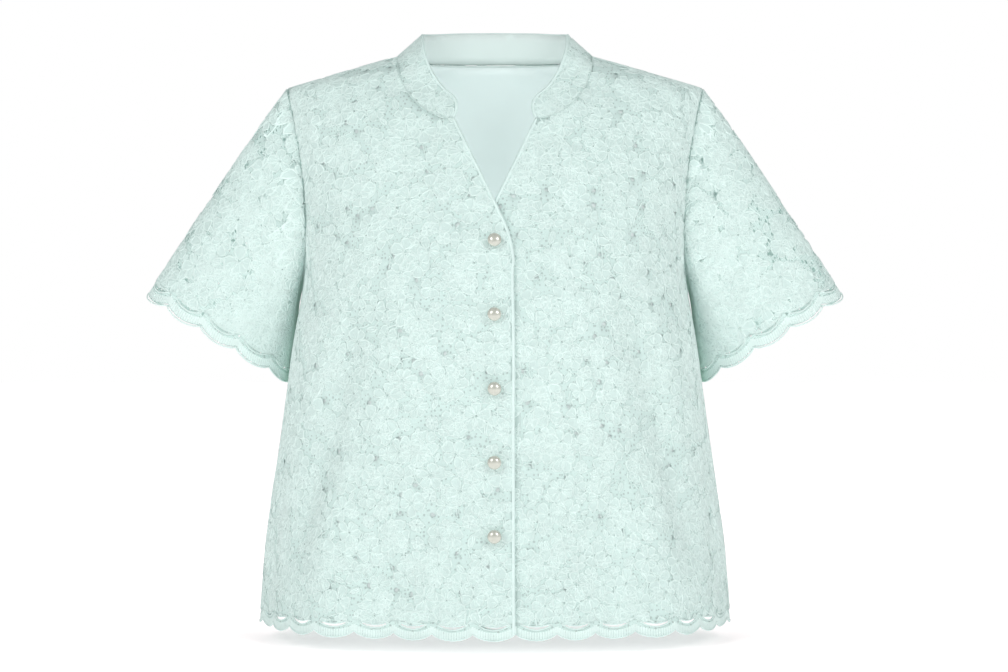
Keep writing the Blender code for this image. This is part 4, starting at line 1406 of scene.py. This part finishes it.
def blended(tree, share, low, high):
    """A colour between two, by a share; either may be a constant or a socket."""
    mix = tree.nodes.new("ShaderNodeMix")
    mix.data_type = "RGBA"
    tree.links.new(share, mix.inputs[0])
    feed(tree, mix.inputs[6], low)
    feed(tree, mix.inputs[7], high)
    return mix.outputs[2]


def cell_texture(tree, start, randomness, feature="F1"):
    """Flat cells on the cloth, of about the pitch that a group is given."""
    cells = tree.nodes.new("ShaderNodeTexVoronoi")
    cells.voronoi_dimensions = "2D"
    cells.feature = feature
    cells.inputs["Randomness"].default_value = randomness
    tree.links.new(start.outputs["Cloth"], cells.inputs["Vector"])
    tree.links.new(math_node(tree, "DIVIDE", 1.0, start.outputs["Pitch"]), cells.inputs["Scale"])
    return cells


def make_net_group():
    """A fine uneven net: cells of about one pitch, with threads between them."""
    tree, start, end = group(
        "Net", [("Cloth", "NodeSocketVector", None), ("Pitch", "NodeSocketFloat", 0.0012),
                ("Thread", "NodeSocketFloat", 0.16)],
        [("Mask", "NodeSocketFloat"), ("Height", "NodeSocketFloat")])
    cells = cell_texture(tree, start, 0.35, "DISTANCE_TO_EDGE")
    outer = math_node(tree, "MULTIPLY", start.outputs["Thread"], 1.5)
    mask = mapped(tree, cells.outputs["Distance"], start.outputs["Thread"], outer, 1.0, 0.0)
    tree.links.new(mask, end.inputs["Mask"])
    tree.links.new(mapped(tree, cells.outputs["Distance"], 0.0, outer, 1.0, 0.0),
                   end.inputs["Height"])
    return tree


def make_eyelet_group():
    """Small eyelets between the net's threads, of uneven size."""
    tree, start, end = group(
        "Eyelets", [("Cloth", "NodeSocketVector", None), ("Pitch", "NodeSocketFloat", 0.0052),
                    ("Size", "NodeSocketFloat", 0.24)],
        [("Mask", "NodeSocketFloat")])
    cells = cell_texture(tree, start, 0.9)
    uneven = math_node(tree, "MULTIPLY_ADD", cells.outputs["Color"], 1.0, 0.45)
    reach = math_node(tree, "MULTIPLY", uneven, start.outputs["Size"])
    inner = math_node(tree, "MULTIPLY", reach, 0.6)
    tree.links.new(mapped(tree, cells.outputs["Distance"], inner, reach, 1.0, 0.0),
                   end.inputs["Mask"])
    return tree


def make_weave_group():
    """A plain weave: two sets of threads that pass over and under each other."""
    tree, start, end = group(
        "Plain weave", [("Cloth", "NodeSocketVector", None), ("Pitch", "NodeSocketFloat", 0.0005)],
        [("Height", "NodeSocketFloat")])
    split = tree.nodes.new("ShaderNodeSeparateXYZ")
    tree.links.new(start.outputs["Cloth"], split.inputs[0])
    rate = math_node(tree, "DIVIDE", math.pi, start.outputs["Pitch"])
    waves = [math_node(tree, "SINE", math_node(tree, "MULTIPLY", split.outputs[k], rate))
             for k in (0, 1)]
    over = math_node(tree, "GREATER_THAN", math_node(tree, "MULTIPLY", *waves), 0.0)
    warp, weft = (math_node(tree, "ABSOLUTE", wave) for wave in waves)
    under = math_node(tree, "SUBTRACT", 1.0, over)
    height = math_node(tree, "MULTIPLY_ADD", warp, over, math_node(tree, "MULTIPLY", weft, under))
    tree.links.new(height, end.inputs["Height"])
    return tree


def make_thread_group():
    """Close threads that run one way, slightly uneven, as in a filled petal or a cord."""
    tree, start, end = group(
        "Laid threads", [("Cloth", "NodeSocketVector", None), ("Pitch", "NodeSocketFloat", 0.0006),
                         ("Lean", "NodeSocketFloat", 0.3)],
        [("Height", "NodeSocketFloat")])
    split = tree.nodes.new("ShaderNodeSeparateXYZ")
    tree.links.new(start.outputs["Cloth"], split.inputs[0])
    noise = tree.nodes.new("ShaderNodeTexNoise")
    noise.inputs["Scale"].default_value = 260
    tree.links.new(start.outputs["Cloth"], noise.inputs["Vector"])
    lean = math_node(tree, "MULTIPLY_ADD", split.outputs[1], start.outputs["Lean"],
                     split.outputs[0])
    bent = math_node(tree, "MULTIPLY_ADD", noise.outputs[0], 0.0012, lean)
    rate = math_node(tree, "DIVIDE", math.pi, start.outputs["Pitch"])
    wave = math_node(tree, "SINE", math_node(tree, "MULTIPLY", bent, rate))
    tree.links.new(math_node(tree, "ABSOLUTE", wave), end.inputs["Height"])
    return tree


def make_mottle_group():
    """Two colours that drift into each other over the whole garment."""
    tree, start, end = group(
        "Mottle", [("Deep", "NodeSocketColor", None), ("Pale", "NodeSocketColor", None),
                   ("Scale", "NodeSocketFloat", 30.0), ("Detail", "NodeSocketFloat", 2.0)],
        [("Colour", "NodeSocketColor")])
    place = tree.nodes.new("ShaderNodeTexCoord")
    noise = tree.nodes.new("ShaderNodeTexNoise")
    tree.links.new(place.outputs["Object"], noise.inputs["Vector"])
    tree.links.new(start.outputs["Scale"], noise.inputs["Scale"])
    tree.links.new(start.outputs["Detail"], noise.inputs["Detail"])
    colour = blended(tree, mapped(tree, noise.outputs[0], 0.35, 0.65), start.outputs["Deep"],
                     start.outputs["Pale"])
    tree.links.new(colour, end.inputs["Colour"])
    return tree


def make_underarm_shade_group():
    """Painted shade: a colour that turns to a deeper one by a share, for the shade under the arms."""
    tree, start, end = group(
        "Close layers", [("Colour", "NodeSocketColor", None), ("Deeper", "NodeSocketColor", None),
                         ("Share", "NodeSocketFloat", 0.0)],
        [("Colour", "NodeSocketColor")])
    colour = blended(tree, start.outputs["Share"], start.outputs["Colour"], start.outputs["Deeper"])
    tree.links.new(colour, end.inputs["Colour"])
    return tree


def painted_glow(shader, colour, share):
    """Painted glow: a faint light in the cloth's own colour, standing in for the light that thin
    cloth lets through.
    """
    shader.inputs["Emission Color"].default_value = shade(colour)
    shader.inputs["Emission Strength"].default_value = share


def painted_floor_shadow(tree, middle, near, far):
    """Painted shadow: a colour that is greyer in an oval at the middle of the floor, under the shirt,
    and white away from it.
    """
    place = tree.nodes.new("ShaderNodeTexCoord")
    squashed = tree.nodes.new("ShaderNodeVectorMath")
    squashed.operation = "MULTIPLY"
    squashed.inputs[1].default_value = FLOOR_OVAL
    tree.links.new(place.outputs["Object"], squashed.inputs[0])
    away = tree.nodes.new("ShaderNodeVectorMath")
    away.operation = "LENGTH"
    tree.links.new(squashed.outputs[0], away.inputs[0])
    return blended(tree, mapped(tree, away.outputs["Value"], near, far), middle, (1, 1, 1, 1))


def material_with(name, roughness, sheen=0.0):
    """A material with its Principled shader and the cloth's own places."""
    material = bpy.data.materials.new(name)
    material.use_nodes = True
    tree = material.node_tree
    shader = tree.nodes["Principled BSDF"]
    shader.inputs["Roughness"].default_value = roughness
    shader.inputs["Sheen Weight"].default_value = sheen
    shader.inputs["Specular IOR Level"].default_value = 0.25
    place = tree.nodes.new("ShaderNodeAttribute")
    place.attribute_name = "cloth"
    return tree, shader, place.outputs["Vector"]


def coloured_with_painted_shade(tree, shader, colour, deeper):
    """Links a colour to a lace shader, with painted shade where it lies near the fold under an arm.
    """
    near = tree.nodes.new("ShaderNodeAttribute")
    near.attribute_name = "tucked"
    close = placed_group(tree, "Close layers", Colour=colour, Deeper=shade(deeper),
                         Share=near.outputs["Fac"])
    tree.links.new(close.outputs["Colour"], shader.inputs["Base Color"])


def placed_group(tree, name, **values):
    """A shared group, placed in a material with its own values."""
    node = tree.nodes.new("ShaderNodeGroup")
    node.node_tree = bpy.data.node_groups[name]
    for label, value in values.items():
        feed(tree, node.inputs[label], value)
    return node


def tinted(tree, colour, deep, scale):
    """A colour that drifts in patches to a deeper shade of itself."""
    tint = placed_group(tree, "Mottle", Deep=shade(colour, deep), Pale=shade(colour), Scale=scale)
    return tint.outputs["Colour"]


def bumped(tree, shader, height, distance):
    """Relief too fine for the mesh, as deep as a distance."""
    bump = tree.nodes.new("ShaderNodeBump")
    bump.inputs["Distance"].default_value = distance
    bump.inputs["Strength"].default_value = 1.0
    tree.links.new(height, bump.inputs["Height"])
    tree.links.new(bump.outputs["Normal"], shader.inputs["Normal"])


def shade(colour, share=1.0):
    """A colour made darker by a share, with full alpha."""
    return tuple(c * share for c in colour[:3]) + (1.0,)


def make_cloth_materials(colours):
    """The net, closed and open; petals, cords, edges, seams and the painted placket shadow; and the
    plain cloth.
    """
    for name, see_through in (("net", False), ("net_open", True)):
        tree, shader, cloth = material_with(name, 0.9, 0.10)
        net = placed_group(tree, "Net", Cloth=cloth, Pitch=0.0014,
                           Thread=0.28 if see_through else 0.19)
        tint = tinted(tree, colours.ground, 0.95, 45.0)
        eyelet = placed_group(tree, "Eyelets", Cloth=cloth).outputs["Mask"]
        closed = math_node(tree, "SUBTRACT", 1.0, eyelet)
        if see_through:
            coloured_with_painted_shade(tree, shader, tint, colours.deeper)
            thread = math_node(tree, "MULTIPLY", net.outputs["Mask"], closed)
            tree.links.new(thread, shader.inputs["Alpha"])
        else:
            # On the closed net the cells between the threads and the eyelets are painted darker:
            # painted shade of the lining behind them
            threads = blended(tree, net.outputs["Mask"], shade(colours.ground, 0.86), tint)
            shaded_holes = blended(tree, closed, shade(colours.ground, 0.66), threads)
            coloured_with_painted_shade(tree, shader, shaded_holes, colours.deeper)
        bumped(tree, shader, net.outputs["Height"], 0.00015)
        # Painted glow, standing in for light through the net
        painted_glow(shader, colours.ground, PAINTED_GLOW_LACE)
    for name, colour, pitch, lean, deep in (
        ("petals", colours.petals, 0.0008, 0.35, 0.00025),
        ("cords", colours.cords, 0.0009, 1.0, 0.00025),
        ("edge", colours.edge, 0.0007, 0.0, 0.00008),
        ("seam", colours.seam, 0.0007, 0.4, 0.0001),
        # A darker strip: painted shadow beside the right front's edge
        ("tape", shade(colours.ground, 0.84), 0.0006, 0.1, 0.0001),
        ("soft_seam", shade(colours.band, 0.97), 0.0005, 0.2, 0.0001),
        ("collar_stitch", shade(colours.petals, 0.92), 0.0005, 0.2, 0.0001),
    ):
        tree, shader, cloth = material_with(name, 0.8, 0.12)
        laid = placed_group(tree, "Laid threads", Cloth=cloth, Pitch=pitch, Lean=lean)
        coloured_with_painted_shade(tree, shader, tinted(tree, colour, 0.95, 60.0), colours.deeper)
        bumped(tree, shader, laid.outputs["Height"], deep)
        # Painted glow, standing in for light through the cloth
        painted_glow(shader, colour, PAINTED_GLOW_LACE)
    for name, colour, rough, through in (("plain_lining", colours.lining, 0.55, PAINTED_GLOW_LINING),
                                         ("band", colours.band, 0.62, PAINTED_GLOW_BAND)):
        tree, shader, cloth = material_with(name, rough, 0.2)
        weave = placed_group(tree, "Plain weave", Cloth=cloth, Pitch=0.0005)
        tree.links.new(tinted(tree, colour, 0.975, 14.0), shader.inputs["Base Color"])
        bumped(tree, shader, weave.outputs["Height"], 0.00006)
        # Painted glow, standing in for light through the lining and the band
        painted_glow(shader, colour, through)


def make_pearl_material(colours):
    """Pearl: a soft body colour that turns warmer in patches, under a clear coat."""
    tree, shader, _ = material_with("pearl_button", 0.26)
    tree.links.new(tinted(tree, colours.pearl, 0.90, 120.0), shader.inputs["Base Color"])
    shader.inputs["Specular IOR Level"].default_value = 0.5
    shader.inputs["Metallic"].default_value = 0.30
    shader.inputs["Coat Weight"].default_value = 1.0
    shader.inputs["Coat Roughness"].default_value = 0.10


# The add-on: sizes and colours, an operator for each group of pieces, and the panel


class ShirtSizes(bpy.types.PropertyGroup):
    flower_spacing: FloatProperty(
        name="Flower spacing", description="From one flower's middle to the next, along the cloth",
        default=0.0272, min=0.018, max=0.06, unit="LENGTH", precision=4)
    flower_radius: FloatProperty(
        name="Flower radius", description="From a flower's middle to its petals' tips",
        default=0.0148, min=0.006, max=0.03, unit="LENGTH", precision=4)
    petal_high: FloatProperty(
        name="Petal height", description="How far a petal's middle rises over the net",
        default=0.0004, min=0.0001, max=0.002, unit="LENGTH", precision=5)
    cord_wide: FloatProperty(
        name="Cord width", description="Width of the cord round a petal or leaf",
        default=0.0016, min=0.0005, max=0.003, unit="LENGTH", precision=5)
    cord_high: FloatProperty(
        name="Cord height", description="How far a cord stands over the net",
        default=0.0010, min=0.0002, max=0.002, unit="LENGTH", precision=5)
    edge_wide: FloatProperty(
        name="Turned edge", description="Width of the turned edge of the fronts and the collar",
        default=0.0028, min=0.002, max=0.01, unit="LENGTH", precision=4)
    pearl_radius: FloatProperty(
        name="Pearl radius", description="Half of a pearl button's width",
        default=0.0069, min=0.004, max=0.01, unit="LENGTH", precision=4)
    lace_seed: IntProperty(
        name="Lace seed", description="Changes how the flowers are scattered", default=7, min=0)


def colour_property(name, description, default):
    """A colour that a user can change."""
    return FloatVectorProperty(name=name, description=description, subtype="COLOR",
                               default=default, min=0, max=1)


class ShirtColours(bpy.types.PropertyGroup):
    ground: colour_property("Net", "The lace's fine ground", (0.59, 0.75, 0.715))
    petals: colour_property("Petals", "The filled petals and leaves", (0.625, 0.785, 0.75))
    cords: colour_property("Cords", "The cords round them", (0.755, 0.915, 0.88))
    # Painted shade: the deeper colour the sleeves turn to near the fold under the arms
    deeper: colour_property("Under the arms", "Where layers lie close", (0.48, 0.81, 0.65))
    lining: colour_property("Lining", "The plain lining", (0.74, 0.83, 0.82))
    band: colour_property("Band", "The plain inside of the collar", (0.64, 0.73, 0.71))
    edge: colour_property("Turned edges", "The smooth edges of the fronts", (0.64, 0.79, 0.76))
    seam: colour_property("Seams", "The sunk seams at the armholes", (0.42, 0.58, 0.54))
    pearl: colour_property("Pearl", "The buttons", (0.58, 0.60, 0.53))


class SHIRT_OT_materials(bpy.types.Operator):
    """Makes the shared node groups and every material"""
    bl_idname = "shirt.materials"
    bl_label = "Materials"

    def execute(self, context):
        for make in (make_net_group, make_eyelet_group, make_weave_group, make_thread_group,
                     make_mottle_group, make_underarm_shade_group):
            make()
        colours = context.scene.shirt_colours
        make_cloth_materials(colours)
        make_pearl_material(colours)
        return {"FINISHED"}


class SHIRT_OT_linings(bpy.types.Operator):
    """Lays the plain lining behind the lace of the fronts and the back"""
    bl_idname = "shirt.linings"
    bl_label = "Linings"

    def execute(self, context):
        for name, front, side in PANELS:
            pattern = lining_pattern(f"lining_{name}", front, side)
            flat, faces = filled_cut(pattern.outline, [], LINING_CELL)
            piece = cloth_piece(pattern.name, pattern, flat, faces, -LINING_IN, LINING * 0.6,
                                bpy.data.materials["plain_lining"])
            worn(piece, "lining", pattern.name)
        return {"FINISHED"}


class SHIRT_OT_body_lace(bpy.types.Operator):
    """Lays the lace of the fronts and the back, with scalloped borders"""
    bl_idname = "shirt.body_lace"
    bl_label = "Body lace"

    def execute(self, context):
        sizes = context.scene.shirt_sizes
        for number, (name, front, side) in enumerate(PANELS):
            draw = np.random.default_rng(sizes.lace_seed + number)
            pattern = body_pattern("lace_" + name, front, side)
            ground, pieces = lace_on(pattern, draw, sizes, ["lace_" + name, "border_" + name],
                                     False)
            pieces.append(trim(f"hem_cords_{name}", hem_cords(pattern, sizes), "cords"))
        return {"FINISHED"}


class SHIRT_OT_sleeves(bpy.types.Operator):
    """Lays the see-through lace sleeves, each one piece, with their scalloped hems"""
    bl_idname = "shirt.sleeves"
    bl_label = "Sleeves"

    def execute(self, context):
        sizes = context.scene.shirt_sizes
        for number, (name, side) in enumerate(SIDES):
            draw = np.random.default_rng(sizes.lace_seed + 10 + number)
            pattern = sleeve_pattern("sleeve_" + name, side)
            nodes = [f"sleeve_{name}_front", f"sleeve_{name}_back"]
            ground, pieces = lace_on(pattern, draw, sizes, nodes, True)
            pieces.append(trim(f"sleeve_hem_cords_{name}", hem_cords(pattern, sizes), "cords"))
        return {"FINISHED"}


class SHIRT_OT_collar(bpy.types.Operator):
    """Lays the stand collar: lace outside, a plain band inside, and its turned edge"""
    bl_idname = "shirt.collar"
    bl_label = "Collar"

    def execute(self, context):
        sizes = context.scene.shirt_sizes
        draw = np.random.default_rng(sizes.lace_seed + 20)
        pattern = collar_pattern()
        ground, pieces = lace_on(pattern, draw, sizes, ["collar_lace"], False)
        edge = spaced(pattern.edge, COLLAR_EDGE_STEP)
        points, normals = line_in_place(pattern.lay, edge, ON_NET)
        profile = turned_profile(sizes.edge_wide * 0.9, TURNED_LOW, TURNED_HIGH)
        pieces.append(trim("collar_turned_edge", [strip_points(points, normals, profile, -1)],
                           "edge"))
        flat, faces = filled_cut(pattern.outline, [], BAND_CELL)
        band = cloth_piece("collar_band", pattern, flat, faces, -LINING_IN, LINING * 0.8,
                           bpy.data.materials["band"])
        worn(band, "lining", "collar_band")
        return {"FINISHED"}


class SHIRT_OT_edges(bpy.types.Operator):
    """Makes the turned edges of the fronts, the seams, and the darker strip that paints the shadow
    beside the right front's edge
    """
    bl_idname = "shirt.edges"
    bl_label = "Edges and seams"

    def execute(self, context):
        sizes = context.scene.shirt_sizes
        profile = turned_profile(sizes.edge_wide, TURNED_LOW, TURNED_HIGH)
        for name, side in SIDES:
            pattern = body_pattern(f"front_{name}", True, side)
            points, normals = line_in_place(pattern.lay, spaced(pattern.edge, EDGE_STEP), ON_NET)
            part = strip_points(points, normals, profile, side)
            trim(f"turned_edge_front_{name}", [part], "edge")
        oval = [(x, z * NECK_CORD_FLAT) for x, z in round_profile(NECK_CORD)]
        cord = round_profile(SEAM_CORD)
        for name, (points, normals), profile, material, material_slot in (
            ("neck_seam", neck_seam(), oval, "soft_seam", "lining"),
            ("collar_seam", collar_foot_line(), cord, "collar_stitch", "lace"),
            ("underlap_tape", placket_shadow_line(), PLACKET_SHADOW_SECTION, "tape", "lace"),
        ):
            part = strip_points(points, normals, profile, 1)
            trim(name, [part], material, material_slot)
        points, normals = armhole_line()
        for name, side in SIDES:
            part = strip_points(points, normals, cord, 1, True)
            trim(f"armhole_seam_{name}", [mirrored(part, side)], "seam")
        return {"FINISHED"}


# A pearl's shank in section, as radius and height over the cloth; where the bead's middle stands,
# how flat the bead is, and where it meets the shank
SHANK = ((0.0, 0.0004), (0.0024, 0.0004), (0.0022, 0.0020))
PEARL_UP = 0.0056
PEARL_FLAT = 0.62
PEARL_FOOT = 0.0021
PEARL_STEPS = 36


class SHIRT_OT_pearls(bpy.types.Operator):
    """Makes the pearl buttons on their shanks"""
    bl_idname = "shirt.pearls"
    bl_label = "Pearl buttons"

    def execute(self, context):
        radius = context.scene.shirt_sizes.pearl_radius
        for number, z in enumerate(BUTTON_Z, 1):
            across, height = place_at(True, np.array([0.0]), np.array([z]))
            flat = np.stack([to_arc(True, across), height], axis=1)
            seat = lay_body(True, -1, flat, LACE + SEAM)[0]
            outer = lay_body(True, -1, flat, LACE + SEAM + 0.01)[0]
            axis = Vector(outer - seat).normalized()
            turn = np.linspace(-math.pi / 2, math.pi / 2, 17)
            profile = list(SHANK)
            profile += [(radius * math.cos(a), PEARL_UP + radius * PEARL_FLAT * math.sin(a))
                        for a in turn if radius * math.cos(a) > PEARL_FOOT or a > 0]
            profile[-1] = (0.0, profile[-1][1])
            mesh = bpy.data.meshes.new(f"pearl_{number}")
            mesh.from_pydata([(x, 0.0, h) for x, h in profile[::-1]],
                             [(i, i + 1) for i in range(len(profile) - 1)], [])
            mesh.materials.append(bpy.data.materials["pearl_button"])
            pearl = bpy.data.objects.new(f"pearl_{number}", mesh)
            context.scene.collection.objects.link(pearl)
            lathe = pearl.modifiers.new("turned", "SCREW")
            lathe.steps = lathe.render_steps = PEARL_STEPS
            lathe.use_merge_vertices = True
            lathe.merge_threshold = 1e-6
            lathe.use_smooth_shade = True
            pearl.location = Vector(seat)
            pearl.rotation_euler = axis.to_track_quat("Z", "Y").to_euler()
            worn(pearl, "pearl", f"button_{number}")
        return {"FINISHED"}


class SHIRT_OT_stage(bpy.types.Operator):
    """Sets the pale floor with a painted shadow under the shirt, the soft studio light and the camera
    """
    bl_idname = "shirt.stage"
    bl_label = "Stage"

    def execute(self, context):
        floor_mesh = bpy.data.meshes.new("floor")
        floor_mesh.from_pydata([(x, y, FLOOR_Z) for x, y in FLOOR_CORNERS], [], [(0, 1, 2, 3)])
        floor = bpy.data.objects.new("floor", floor_mesh)
        context.scene.collection.objects.link(floor)
        tree, shader, _ = material_with("floor", 0.9)
        shader.inputs["Base Color"].default_value = FLOOR_COLOUR
        shader.inputs["Specular IOR Level"].default_value = 0.0
        # The floor's glow turns grey in an oval under the shirt: a painted shadow
        glow = painted_floor_shadow(tree, FLOOR_SHADOW_GREY, FLOOR_NEAR, FLOOR_FAR)
        tree.links.new(glow, shader.inputs["Emission Color"])
        shader.inputs["Emission Strength"].default_value = FLOOR_GLOW
        floor_mesh.materials.append(bpy.data.materials["floor"])
        world = bpy.data.worlds.new("studio")
        context.scene.world = world
        world.use_nodes = True
        tree = world.node_tree
        sky = tree.nodes["Background"]
        sky.inputs["Color"].default_value = (1.0, 1.0, 1.0, 1)
        seen = tree.nodes.new("ShaderNodeLightPath").outputs["Is Camera Ray"]
        tree.links.new(mapped(tree, seen, 0.0, 1.0, AMBIENT, 1.0), sky.inputs["Strength"])
        for name, place, aim, wide, power in LAMPS:
            light = bpy.data.lights.new(name, "AREA")
            light.shape = "DISK"
            light.size = wide
            light.energy = power
            lamp = bpy.data.objects.new(name, light)
            lamp.location = place
            lamp.visible_camera = False
            lamp.rotation_euler = (Vector(aim) - Vector(place)).to_track_quat("-Z", "Y").to_euler()
            context.scene.collection.objects.link(lamp)
        lens = bpy.data.cameras.new("camera")
        lens.lens = CAMERA_LENS
        lens.sensor_width = CAMERA_SENSOR
        lens.clip_end = CAMERA_SEES
        camera = bpy.data.objects.new("camera", lens)
        camera.location = CAMERA_PLACE
        camera.rotation_euler = (math.pi / 2, 0, 0)
        context.scene.collection.objects.link(camera)
        context.scene.camera = camera
        context.scene.view_settings.view_transform = "Standard"
        return {"FINISHED"}


OPERATORS = (SHIRT_OT_stage, SHIRT_OT_materials, SHIRT_OT_linings, SHIRT_OT_body_lace,
             SHIRT_OT_sleeves, SHIRT_OT_collar, SHIRT_OT_edges, SHIRT_OT_pearls)


class SHIRT_PT_panel(bpy.types.Panel):
    bl_idname = "SHIRT_PT_panel"
    bl_label = "Lace shirt"
    bl_space_type = "VIEW_3D"
    bl_region_type = "UI"
    bl_category = "Lace shirt"

    def draw(self, context):
        for owner in (context.scene.shirt_sizes, context.scene.shirt_colours):
            box = self.layout.box()
            for name in owner.__annotations__:
                box.prop(owner, name)
        for operator in OPERATORS:
            self.layout.operator(operator.bl_idname)


CLASSES = (ShirtSizes, ShirtColours, *OPERATORS, SHIRT_PT_panel)


def register():
    for each in CLASSES:
        bpy.utils.register_class(each)
    bpy.types.Scene.shirt_sizes = PointerProperty(type=ShirtSizes)
    bpy.types.Scene.shirt_colours = PointerProperty(type=ShirtColours)


def unregister():
    del bpy.types.Scene.shirt_colours
    del bpy.types.Scene.shirt_sizes
    for each in reversed(CLASSES):
        bpy.utils.unregister_class(each)


def main():
    register()
    bpy.ops.shirt.stage()
    bpy.ops.shirt.materials()
    bpy.ops.shirt.linings()
    bpy.ops.shirt.body_lace()
    bpy.ops.shirt.sleeves()
    bpy.ops.shirt.collar()
    bpy.ops.shirt.edges()
    bpy.ops.shirt.pearls()


if __name__ == "__main__":
    main()
